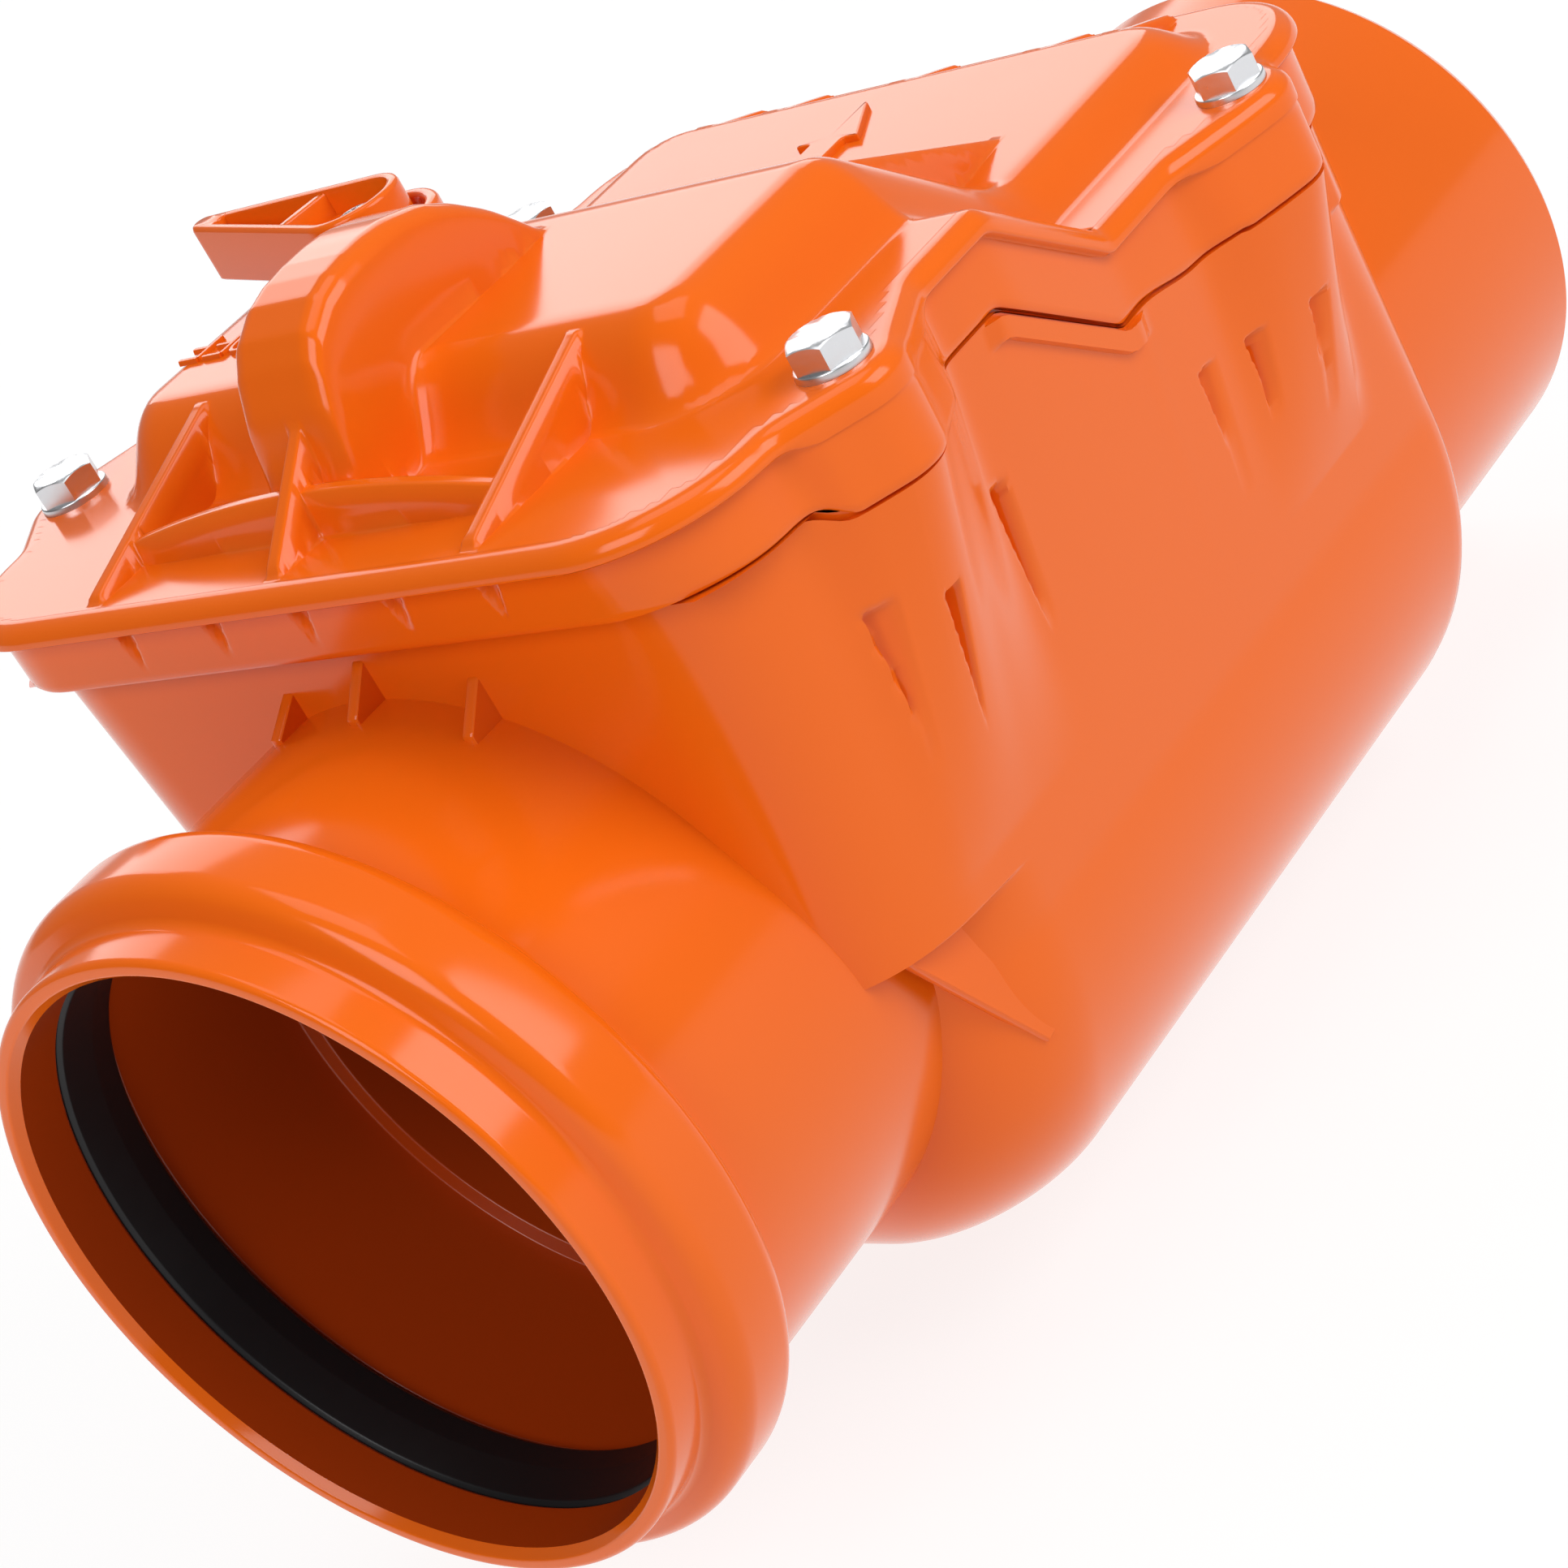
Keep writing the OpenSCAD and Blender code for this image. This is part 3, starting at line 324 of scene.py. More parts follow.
# Signed distance inside the dome's foot: a rounded rectangle that narrows along the slope
def domeInside(x, y):
    hw = dome["hwIn"] + (dome["hwOut"] - dome["hwIn"]) * np.clip((x - 138) / 34, 0, 1)
    r = dome["corner"]
    qx = np.abs(x - (dome["front"] + dome["end"]) / 2) - (dome["end"] - dome["front"]) / 2 + r
    qy = np.abs(y) - hw + r
    d = -(np.hypot(np.maximum(qx, 0), np.maximum(qy, 0)) + np.minimum(np.maximum(qx, qy), 0) - r)
    # Concave fillet in plan where the hump meets the dome front: a quarter circle beside the hump
    k = hump["fillet"]
    b = np.clip(hump["half"] - np.abs(y - hump["y"]), -k, 0)
    return d + np.where(x < 105, k - b - 2 * np.sqrt(-k * b), 0)


# Height of the cover at (x, y), inset by t for the inner skin
def coverTop(x, y, t=0.0):
    zf = flangeLevel(x) - t
    wall = zf + (domeInside(x, y) - t) / dome["draft"]
    z = softMax(zf, softMin(domeRoof(x) - t, wall, dome["soft"]), dome["foot"])
    side = hump["half"] - t - np.abs(y - hump["y"])
    arch = np.interp(x, humpLine[:, 0] + t, humpLine[:, 1]) - t
    arch = np.where((x < humpLine[0, 0] + t) | (x > humpLine[-1, 0]), 60, arch)
    z = softMax(z, arch - edgeDrop(side, max(hump["edge"] - t, 0.8), 14), 2.6)
    if t:
        return z
    # Two ribs up to the dome front and a steeper one up to the hump
    for yc, rise in zip(frontRibs["y"], frontRibs["rise"]):
        d = np.minimum(frontRibs["half"] - np.abs(y - yc), (x - frontRibs["from"]) * 0.6)
        line = frontRibs["z"] + (x - frontRibs["from"]) * rise
        z = softMax(z, np.where(x < 95, line, 60) - edgeDrop(d, 0.7, 9), 1.3)
    # Arched rib across them
    d = np.minimum(archRib["half"] - np.abs(x - archRib["x"]), archRib["reach"] - np.abs(y))
    z = softMax(z, archRib["top"] - y * y / archRib["bow"] - edgeDrop(d, 0.7, 9), 1.3)
    # Two long ribs that brace the slope
    for yc, lean in zip(braces["y"], braces["lean"]):
        d = braces["half"] - np.abs(y - yc - (x - 167) * lean)
        d = np.minimum(d, np.minimum(x - braces["from"], braces["to"] - x))
        line = braces["top"] + (x - 144.4) * (dome["low"] + 0.4 - braces["top"]) / 46.4
        z = softMax(z, line - edgeDrop(d, 0.7, 8), 1.3)
    # Five short ribs at the outlet end
    for yc in outletRibs["y"]:
        d = np.minimum(outletRibs["half"] - np.abs(y - yc), (outletRibs["to"] - x) * 0.8)
        line = dome["low"] - 1.2 - (x - 228) * (dome["low"] - outletRibs["end"]) / 13
        z = softMax(z, np.where(x > outletRibs["from"], line, 50) - edgeDrop(d, 0.8, 8), 1.3)
    return z


# Grid lines at an even step, closer together in the clusters (from, to, step)
def lines(low, high, step, clusters):
    out = [np.arange(low, high, step)] + [np.arange(a, b, s) for a, b, s in clusters]
    out = np.sort(np.concatenate(out))
    return out[np.concatenate([[True], np.diff(out) > 0.12])]


nearRibs = [(yc - 2.6, yc + 2.61, 0.4) for yc in (-41.5, 0, 41.5, -30, 30)]
nearBraces = [(-50, -42.6, 0.45), (43.6, 49, 0.45)]
nearHump = [(-11.4, -3, 0.36), (5.8, 14.2, 0.36)]
nearSides = [(-70, -60, 0.9), (60, 70.1, 0.9)]
xs = lines(54, 245.2, 1.6, [(57, 61, 0.7), (67.6, 82, 0.42), (82, 98, 0.7), (129, 143, 0.8), (166, 176, 0.9),
                            (224, 243, 0.7)])
ys = lines(-93, 93.1, 1.7, nearRibs + nearBraces + nearHump + nearSides)
gx, gy = np.meshgrid(xs, ys, indexing="ij")
room = insideOutline(gx.ravel(), gy.ravel()).reshape(gx.shape)
gz = coverTop(gx, gy)
coverV = np.stack([gx, gy, gz], 2).reshape(-1, 3)
coverF = gridFaces(len(xs), len(ys))
coverF = coverF[(room.ravel() > 3.4)[coverF].all(1)]
makePiece("coverShell", [(coverV, coverF)], orange, "housing", sharp=60, replace=("cover",))
print("cover grid", len(xs), len(ys), len(coverF))

# Flange edge: rings offset from the outline by w at depth h, from the flat top round the lip to the skirt
notches = {"y": (37.5, 17.0, -2.6, -22.8, -42.6), "top": 4.4, "len": 7.8, "half": 1.9, "deep": 1.5}
ear = ease(-0.5, 4.0, np.abs(outline[:, 1]) - coreWidth(outline[:, 0]))
nose = 1 - ease(55, 72, outline[:, 0])
lip = flange["lip"] + 1.6 * ear
over = 2.0 + 1.2 * nose - 1.6 * ear
deep = skirtDepth(outline[:, 0])
edgeR = flange["edge"]
under = 0.03  # the band lies just under the grid
edgeRows = [(edgeR + 4.0, under)]
for a in np.linspace(0, math.pi / 2, 9):
    edgeRows.append((edgeR * (1 - math.sin(a)), under + edgeR * (1 - math.cos(a))))
edgeRows += [(0.0, lip), (0.15 * over, lip + 0.35), (0.75 * over, lip + 0.45)]
for s in np.linspace(0, 1, 12):
    h = lip + 0.8 + (deep - 0.6 - lip - 0.8) * s
    notch = 0.0
    for yc in notches["y"]:
        down = np.clip((h - notches["top"]) / notches["len"], 0, 1)
        inside = np.clip((notches["half"] * (1 - down) - np.abs(outline[:, 1] - yc)) / 0.5, 0, 1)
        notch = notch + notches["deep"] * (1 - down) * inside * (outline[:, 0] < 57)
    edgeRows.append((over + 0.2 * s + notch, h))
edgeRows += [(over + 0.6, deep), (over + 2.4, deep), (over + 2.6, deep - 0.4), (over + 2.6, 4.2), (12.0, 4.2)]
rows = []
for w, h in edgeRows:
    q = outline - outNormal * np.broadcast_to(w, len(outline))[:, None]
    rows.append(np.column_stack([q, flangeLevel(q[:, 0], h)]))
rimBand = gridPart(np.stack(rows, 1), closeU=True)
makePiece("coverRim", [rimBand], orange, "housing", sharp=50)

# Inner skin of the cover: the same height, inset by the wall
xi = lines(58, 242, 3.0, [(70, 84, 1.0), (86, 96, 1.2), (128, 142, 1.2)])
yi = lines(-80, 80.1, 3.0, [(-10, 13, 0.8), (-70, -60, 1.2), (60, 70, 1.2)])
ix, iy = np.meshgrid(xi, yi, indexing="ij")
innerV = np.stack([ix, iy, coverTop(ix, iy, flange["wall"])], 2).reshape(-1, 3)
innerF = gridFaces(len(xi), len(yi))[:, ::-1]
innerF = innerF[(insideOutline(ix.ravel(), iy.ravel()) > 8)[innerF].all(1)]

# Hinge lugs and spindle boss under the roof
hinge = {"x": 95.0, "z": 78.0, "lugR": 7.0, "lugTop": 93.5, "lugs": ((8.2, 12.2), (-9.2, -5.2))}
spindle = {"x": 127.0, "y": 24.5, "bore": 5.05, "bossR": 8.5, "bossLow": 89.2}


# Stands a prism up: its plan becomes X and Z, its height becomes Y
def uprightXz(v):
    return v[:, [0, 2, 1]]


lugLine = evenLoop(np.vstack([
    arc(hinge["x"], hinge["z"], hinge["lugR"], 180, 360, 16),
    [[102, hinge["lugTop"]], [89.5, hinge["lugTop"]], [89.5, 83.5]]]), 80)
lugParts = []
for y0, y1 in hinge["lugs"]:
    lugParts += prism(lugLine, y0, y1, 0.4, (hinge["x"], 84), uprightXz)
bossLine = rounded([(spindle["bore"], 96.0, 0), (spindle["bore"], spindle["bossLow"], 0.3),
                    (spindle["bossR"], spindle["bossLow"], 0.6), (spindle["bossR"], 94, 0)])
bossPart = turnZ(bossLine, spindle["x"], spindle["y"])
liningParts = [(innerV, innerF), *lugParts, bossPart]
makePiece("coverLining", liningParts, orange, "housing", sharp=60)
print("cover done")

# Flow arrow: a raised outline on the lower plateau
arrow = {"from": 181.3, "neck": 203.6, "tip": 217.4, "half": 3.7, "headHalf": 7.1, "height": 1.2}
arrowHalf = np.array([[arrow["from"], -arrow["half"]], [arrow["neck"], -arrow["half"]],
                      [arrow["neck"], -arrow["headHalf"]], [arrow["tip"], 0]])
arrowLine = smoothLoop(np.vstack([arrowHalf, arrowHalf[-2::-1] * [1, -1]]), 260, 0.35)
arrowParts = prism(arrowLine, dome["low"] - 0.6, dome["low"] + arrow["height"], 0.4, (205, 0), lambda v: v)
makePiece("flowArrow", arrowParts, orange, "housing")

lettering = {"stroke": 1.1, "height": 0.9}


# Letters: strokes with a rounded ridge section swept along their centre lines
def stroke(path, closed, width, low, high):
    p = np.asarray(path, float)
    t = (np.roll(p, -1, 0) - np.roll(p, 1, 0)) if closed else np.gradient(p, axis=0)
    n = np.stack([-t[:, 1], t[:, 0]], 1) / np.linalg.norm(t, axis=1)[:, None]
    sec = [(-0.5, 0), (-0.42, 0.6), (-0.3, 0.92), (0, 1), (0.3, 0.92), (0.42, 0.6), (0.5, 0)]
    ridge = [np.column_stack([p + n * (s * width), np.full(len(p), low + (high - low) * k)]) for s, k in sec]
    pts = np.stack(ridge, 1)
    ends = [] if closed else [(pts[0], [list(range(len(sec)))]), (pts[-1], [list(range(len(sec)))[::-1]])]
    return [gridPart(pts, closeU=closed, flip=True)] + ends


# Centre lines of one letter in a box w by h: a squarish ellipse, or straight strokes
def letter(kind, w, h):
    if kind == "O":
        a = np.linspace(0, 2 * np.pi, 40, endpoint=False)
        c, s = np.cos(a), np.sin(a)
        squarish = [np.sign(q) * np.abs(q) ** 0.75 for q in (c, s)]
        return [(np.stack([w / 2 * (1 + squarish[0]), h / 2 * (1 + squarish[1])], 1), True)]
    if kind == "N":
        ends = [((0, 0), (0, h)), ((0, h), (w, 0)), ((w, 0), (w, h))]
    else:
        ends = [((0, 0), (0, h)), ((0, h), (w, h)), ((0, h * 0.5), (w * 0.85, h * 0.5))]
    return [(np.linspace(a, b, 8), False) for a, b in ends]


# Letters stand with their right side towards +Y and their feet towards +X
def word(text, centre, w, h, step, low):
    parts = []
    for i, ch in enumerate(text):
        for path, closed in letter(ch, w, h):
            q = path + [i * step - (step * (len(text) - 1) + w) / 2, -h / 2]
            q = np.stack([centre[0] - q[:, 1], centre[1] + q[:, 0]], 1)
            parts += stroke(q, closed, lettering["stroke"], low, low + lettering["height"])
    return parts


onParts = word("ON", (75.7, 22.9), 4.6, 6.7, 6.4, 82.9)
offParts = word("OFF", (112.1, 50.9), 4.4, 6.4, 5.8, 96.1)
makePiece("letteringOn", onParts, orange, "housing")
makePiece("letteringOff", offParts, orange, "housing")
print("cover trim done")

# Body: horizontal slices, each a rectangle with its own half width, front, rear and corner radii

trough = {"r": 67.0, "z": -14.5, "draft": 0.166, "wall": 3.2, "front": 73.0, "frontR": 40.0, "planR": 26.0,
          "rear": 240.0, "rearR": 4.5, "wallX": 61.0, "blockZ": -3.0, "cornerR": 24.0, "topR": 24.0,
          "topZ": 46.0}
pocket = {"half": 1.9, "deep": 2.9}
pockets = [(83.2, 51, 33), (94.0, 46.6, 28), (119.4, 47, 30),  # middle, top and length of each
           (176.8, 31, 27), (189.8, 29, 26), (203.7, 27, 26)]
counts = {"front": 36, "corner": 64, "rearCorner": 24, "rear": 34}
sideFrom, sideTo = 91, 218
pocketX = np.concatenate([np.arange(px - 2.4, px + 2.41, 0.4) for px, _, _ in pockets])
sideX = np.sort(np.concatenate([np.linspace(sideFrom, sideTo, 84), pocketX[pocketX > sideFrom]]))
sideShare = (sideX - sideFrom) / (sideTo - sideFrom)


# Half width of the body at height z: a drafted wall above the axis of the trough, a circle below it
def halfWidth(z):
    low = np.sqrt(np.maximum(trough["r"] ** 2 - (z - trough["z"]) ** 2, 0))
    return np.where(z > trough["z"], trough["r"] + trough["draft"] * (z - trough["z"]), low)


# Corner as a straight lead-in, a quarter circle of radius r and a straight lead-out, each end at "big"
def cornerPath(u, big, r):
    lead = big - r
    s = u * (2 * lead + math.pi / 2 * r)
    turn = np.clip((s - lead) / np.maximum(r, 1e-6), 0, math.pi / 2)
    along = np.minimum(s, lead) + r * np.sin(turn)
    across = r * (1 - np.cos(turn)) + np.maximum(s - lead - math.pi / 2 * r, 0)
    return along, across


# Half of a slice from the front middle to the rear middle, at one height per point, inset by t
def sliceHalf(z, t):
    spans = [counts["front"], counts["corner"], len(sideShare), counts["rearCorner"], counts["rear"]]
    total = sum(spans)
    z = np.broadcast_to(z, total)
    block = ease(trough["blockZ"] - 1.2, trough["blockZ"] + 0.8, z)
    below = np.where(z < trough["z"], trough["z"] - z, 0)
    deepF = np.clip(below - (trough["r"] - trough["frontR"]), 0, trough["frontR"])
    lowFront = trough["front"] + trough["frontR"] - np.sqrt(trough["frontR"] ** 2 - deepF ** 2)
    xf = lowFront + (trough["wallX"] - lowFront) * block + t
    deepR = np.clip(below - (trough["r"] - trough["rearR"]), 0, trough["rearR"])
    xr = trough["rear"] - trough["rearR"] + np.sqrt(trough["rearR"] ** 2 - deepR ** 2) - t
    hw = np.maximum(halfWidth(z) - t, 0.4)
    bigF, bigR = np.minimum(30, hw * 0.97), np.minimum(26, hw * 0.9)
    rf = np.minimum(trough["planR"] + (trough["cornerR"] - trough["planR"]) * block, bigF)
    rise = np.clip((z - trough["z"]) / (trough["topZ"] - trough["z"]), 0, 1)
    rr = np.minimum(trough["rearR"] + 2 + (trough["topR"] - trough["rearR"] - 2) * rise, bigR)
    ends = np.cumsum([0, *spans])
    a, b, c, d, e = [np.arange(total)[i:j] for i, j in zip(ends[:-1], ends[1:])]
    x, y = np.zeros(total), np.zeros(total)
    x[a], y[a] = xf[a], np.linspace(0, 1, len(a), endpoint=False) * (hw - bigF)[a]
    along, across = cornerPath(np.linspace(0, 1, len(b)), bigF[b], rf[b])
    x[b], y[b] = xf[b] + across, hw[b] - bigF[b] + along
    start, stop = xf[c] + bigF[c], xr[c] - bigR[c]
    x[c], y[c] = start + sideShare * (stop - start), hw[c]
    along, across = cornerPath(np.linspace(0, 1, len(d)), bigR[d], rr[d])
    x[d], y[d] = xr[d] - bigR[d] + along, hw[d] - across
    x[e], y[e] = xr[e], np.linspace(1, 0, len(e) + 1)[1:] * (hw - bigR)[e]
    return x, y


# Rows of the body: a few that follow the split line, a blend to level rows, then the round bottom by angle
def bodyRows(t=0.0):
    baseX, _ = sliceHalf(50.0, t)
    top = flangeLevel(baseX, skirtDepth(baseX) + 0.5)
    level = 22.0
    heights = [top - d for d in (-1.3, 0.1, 0.25, 0.7, 0.85, 1.2, 2.4, 3.6, 4.5, 4.9, 5.3, 6.0)]
    heights += [(top - 6) + (level - top + 6) * v for v in np.linspace(0.02, 1, 44)]
    for first, last, count in ((21, -1.4, 24), (-1.9, -4.3, 8), (-5.5, -14, 7)):
        heights += list(np.linspace(first, last, count))
    heights += list(trough["z"] - trough["r"] * np.sin(np.radians(np.linspace(1.5, 89, 40))))
    rowsOut = []
    for z in heights:
        z = np.broadcast_to(z, len(baseX))
        rowsOut.append(np.column_stack([*sliceHalf(z, t), z]))
    out = np.stack(rowsOut, 1)
    if t:
        return out
    x, y, z = out[..., 0].copy(), out[..., 1].copy(), out[..., 2]
    split = flangeLevel(x, skirtDepth(x) + 0.5)
    flank = ease(0.72, 0.97, y / np.maximum(halfWidth(z), 1))
    # Columns under the ears fade into the wall
    bulge = earReach(x) + 1.6 * ease(0.5, 6, earReach(x))
    fadeIn = np.clip((z - 2) / (split - 2), 0, 1)
    fadeOut = np.clip((z + 4) / (split + 4), 0, 1)
    out[..., 1] += bulge * np.where(x < 150, fadeIn, fadeOut) * flank
    # Thin joint under the skirt, open above a ledge along the slope
    onSlope = ease(130, 131.5, x) * (1 - ease(164, 166, x)) * flank
    out[..., 1] += 1.3 * onSlope * (1 - ease(4.5, 4.9, split - z))
    out[..., 1] -= 1.3 * onSlope * (1 - ease(0.7, 0.85, split - z))
    out[..., 1] -= 1.6 * flank * (1 - ease(0.1, 0.25, split - z))
    # Thicker band at the outlet corners, cut away round the spigot
    band = ease(31, 31.6, z) * ease(60.5, 61.5, np.hypot(y, z - trough["z"]))
    out[..., 0] += 2.0 * ease(232, 239.8, x) * band
    out[..., 1] += 1.2 * ease(223, 225, x) * (1 - ease(236, 240, x)) * band
    # Pockets with a flat top and an upright rear edge that taper to a point
    for px, pz, pl in pockets:
        down = (pz - z) / pl
        across = np.minimum(px - x, x - px - 2 * pocket["half"] * down) + pocket["half"]
        inside = np.clip(across / 0.8, 0, 1) * np.clip(down * pl / 0.6, 0, 1) * (down < 1)
        out[..., 1] -= pocket["deep"] * (1 - down) * inside * flank
    return out


# Half of each closed row and its mirror image
def bothHalves(half):
    return np.concatenate([half, half[::-1][1:-1] * [1, -1, 1]], 0)


socket = {"stop": 57.0, "boreR": 55.4, "passR": 51.8, "mouthR": 59.0, "bulgeR": 65.0, "grooveR": 61.8,
          "grooveFrom": 12.7, "grooveTo": 21.8, "boreEnd": 98.0}
spigot = {"r": 55.0, "inner": 51.8, "from": 228.8, "end": 311.5, "rootR": 56.8}


# Faces of a closed grid without those inside the inlet and outlet passages
def openPassages(points, flip):
    v, f = gridPart(points, closeU=True, flip=flip)
    inlet = (np.hypot(v[:, 1], v[:, 2]) < 55.0) & (v[:, 0] < 95)
    outlet = (np.hypot(v[:, 1], v[:, 2] - trough["z"]) < 54.4) & (v[:, 0] > 225)
    return v, f[~(inlet | outlet)[f].all(1)]


shell = bothHalves(bodyRows())
print("body grid", shell.shape)

# Socket and neck: one turned profile, inside and out, with the groove for the ring
boreLine = rounded([
    (socket["boreEnd"], socket["passR"], 0), (socket["stop"], socket["passR"], 0.4),
    (socket["stop"], socket["boreR"], 0.4), (socket["grooveTo"], socket["boreR"], 0.5),
    (socket["grooveTo"], socket["grooveR"], 0.4),
    (socket["grooveFrom"], socket["grooveR"], 0.4), (socket["grooveFrom"], 58.2, 0.3),
    (9.8, socket["boreR"], 0.5), (1.6, socket["boreR"], 0)], 9)
socketLine = rounded([
    (1.6, socket["boreR"], 0), (0, 56.6, 0.7), (0, socket["mouthR"], 1.3), (8.0, 59.2, 2.0),
    (10.2, socket["bulgeR"], 4.2), (23.2, socket["bulgeR"], 4.2), (25.6, socket["mouthR"], 2.2),
    (92, socket["mouthR"], 0)], 9)
# The socket bore takes the darkened orange: painted shade for the inside, which lies in shadow
makePiece("socketBore", [turnX(boreLine, 0, 200)], paintedShadeOrange, "housing")
spigotLine = rounded([
    (spigot["from"], spigot["inner"], 0), (spigot["end"], spigot["inner"], 0.5), (spigot["end"], 53.8, 0.5),
    (spigot["end"] - 2, spigot["r"], 0.6), (241.5, spigot["r"], 0.5), (239.5, spigot["rootR"], 0)], 7)
pipeParts = [turnX(socketLine, 0, 200), turnX(spigotLine, trough["z"], 160)]

# Flat sole, fins under the front corners and small gussets on the neck
sole = {"from": 132.0, "to": 232.0, "half": 19.0, "low": -82.0}
fins = {"y": 61.0, "thick": 2.6, "line": ((71, -2), (100, -2), (100, -30), (88.5, -31.5))}
neckGussets = {"from": 54.5, "half": 1.1, "placed": ((16, 6.0), (-2.8, 8.0), (-24, 8.0))}  # y and height
soleLine = evenLoop(np.array([[sole["from"], -sole["half"]], [sole["to"], -sole["half"]],
                              [sole["to"], sole["half"]], [sole["from"], sole["half"]]]), 80)
gussets = prism(soleLine, sole["low"], -74.0, 0.3, (182, 0), lambda v: v)
finLine = evenLoop(np.array(fins["line"], float), 90)
for low in (-fins["y"] - fins["thick"], fins["y"]):
    gussets += prism(finLine, low, low + fins["thick"], 0.4, (90, -12), uprightXz)
for y, h in neckGussets["placed"]:
    base = math.sqrt(socket["mouthR"] ** 2 - y * y) - 1.0
    x0, x1 = neckGussets["from"], neckGussets["from"] + 7.5
    line = np.array([[x0, base], [x1, base], [x1, base + h], [x1 - 1, base + h], [x0, base + 2]])
    low, high = y - neckGussets["half"], y + neckGussets["half"]
    gussets += prism(evenLoop(line, 60), low, high, 0.3, (60, base + 2), uprightXz)
bodyParts = [openPassages(shell, False), *pipeParts, *gussets]
makePiece("valveBody", bodyParts, orange, "housing", sharp=50, replace=("valve_body",))

# Inside of the body: the inset slices, the upstand that carries the gasket, and the seat tube
half = bodyRows(trough["wall"])
half = half[[*range(0, len(half) - 1, 2), len(half) - 1]][:, ::2]
rimRows = []
for w, h, reach, start in ((2.4, 14.5, 81.5, 61), (6.0, 14.5, 77.5, 61), (6.0, 6.6, 77.5, 61),
                           (9.2, 6.6, 74.3, 64.2), (9.2, 20, 74.3, 64.2)):
    q = outline - outNormal * w
    q = np.column_stack([np.maximum(q[:, 0], start), np.clip(q[:, 1], -reach, reach)])
    rimRows.append(np.column_stack([q, flangeLevel(q[:, 0], h)]))
rimPart = gridPart(np.stack(rimRows, 1), closeU=True)
seat = {"tilt": math.radians(6), "off": 1.7, "r": 56.3, "from": 66.0}  # its plane passes "off" from the hinge
slope = math.tan(seat["tilt"])
seatX = hinge["x"] + seat["off"] * math.cos(seat["tilt"])  # a point of the slanted seat plane
seatZ = hinge["z"] + seat["off"] * math.sin(seat["tilt"])
turn = np.linspace(0, 2 * np.pi, 120, endpoint=False)
rows = []
for r, start in ((seat["r"], seat["from"]), (seat["r"], None),
                 (socket["passR"], None), (socket["passR"], socket["boreEnd"])):
    z = r * np.cos(turn)
    x = seatX + (seatZ - z) * slope if start is None else np.full(len(turn), start)
    rows.append(np.stack([x, r * np.sin(turn), z], 1))
seatPart = gridPart(np.stack(rows, 1), closeU=True)
insideParts = [openPassages(bothHalves(half), True), rimPart, seatPart]
makePiece("bodyLining", insideParts, orange, "housing", sharp=50)
print("body done")

# Socket ring: a turned lip ring that leans inward
seal = {"r": 61.6, "lipR": 53.8, "from": 12.9, "to": 21.6}
sealLine = rounded([
    (seal["from"], seal["r"], 0), (seal["from"], 58.5, 0.4), (10.0, 55.9, 0.5), (10.8, 54.9, 0.6),
    (16.5, seal["lipR"] + 0.1, 2.0), (20.6, seal["lipR"], 0.8), (seal["to"], 55.3, 0.6),
    (seal["to"], seal["r"], 0)], 7)
ringPart = turnX(sealLine, 0, 180)
makePiece("socketRing", [ringPart], rubber, "housing", replace=("socket_seal",))

# Bolt heads: a hexagon in plan whose top is cut by a cone, on a short washer
bolt = {"flats": 10.0, "head": 4.0, "cone": 4.75, "shankR": 3.0, "len": 20.8, "washer": 1.2, "washerR": 6.0,
        "turned": (0.35, 0.1, 0.5, 0.22)}
ang = np.linspace(0, 2 * np.pi, 96, endpoint=False)
hexR = bolt["flats"] / 2 / np.cos((ang + np.pi / 6) % (np.pi / 3) - np.pi / 6)


def boltHead(bx, by, bz, turned):
    seatZ = bz + bolt["washer"]
    shares = (0.0, 0.5, 0.9, 0.955, 1.0)
    rings = [(k, bolt["head"] - np.maximum(hexR * k - bolt["cone"], 0) * 0.58) for k in shares]
    rings += [(1.0, 0 * hexR), (0.9, 0 * hexR)]
    c, s = np.cos(ang + turned), np.sin(ang + turned)
    pts = np.stack([np.stack([bx + hexR * k * c, by + hexR * k * s, seatZ + z], 1) for k, z in rings], 1)
    end = bz - bolt["len"]
    shank = [(bolt["shankR"], seatZ), (bolt["shankR"], end + 0.5), (bolt["shankR"] - 0.6, end), (0.01, end)]
    v, f = turnZ(shank, bx, by, 32)
    return [gridPart(pts, closeU=True), (v, f[:, ::-1])]


heads, washers = [], []
for (bx, by, bz), turned in zip(bolts, bolt["turned"]):
    heads += boltHead(bx, by, bz, turned)
    top = bz + bolt["washer"]
    washerLine = rounded([(3.3, top, 0), (bolt["washerR"] - 0.1, top, 0.3), (bolt["washerR"], bz, 0)])
    v, f = turnZ(washerLine, bx, by, 64)
    washers.append((v, f[:, ::-1]))
makePiece("boltHeads", heads, zinc, "housing", sharp=30, replace=("cover_bolts",))
makePiece("boltRings", washers, zinc, "housing", replace=("bolt_washers",))
print("fasteners done")

# Lever: a wall between a tapering outer loop and an inner loop cut off before the tip, a web and a hub floor

lever = {"angle": math.radians(82), "low": 99.6, "high": 109.8, "floor": 105.3, "hub": 8.6, "len": 43.6,
         "tip": 2.2, "wall": 1.8, "end": 7.0, "webX": 12.6, "web": 2.0}


# Turns parts about the spindle to the rest angle of the lever and moves them there
def onLever(parts):
    c, s = math.cos(lever["angle"]), math.sin(lever["angle"])
    turned = np.array([[c, s, 0], [-s, c, 0], [0, 0, 1]])
    return [(np.asarray(v) @ turned + [spindle["x"], spindle["y"], 0], f) for v, f in parts]


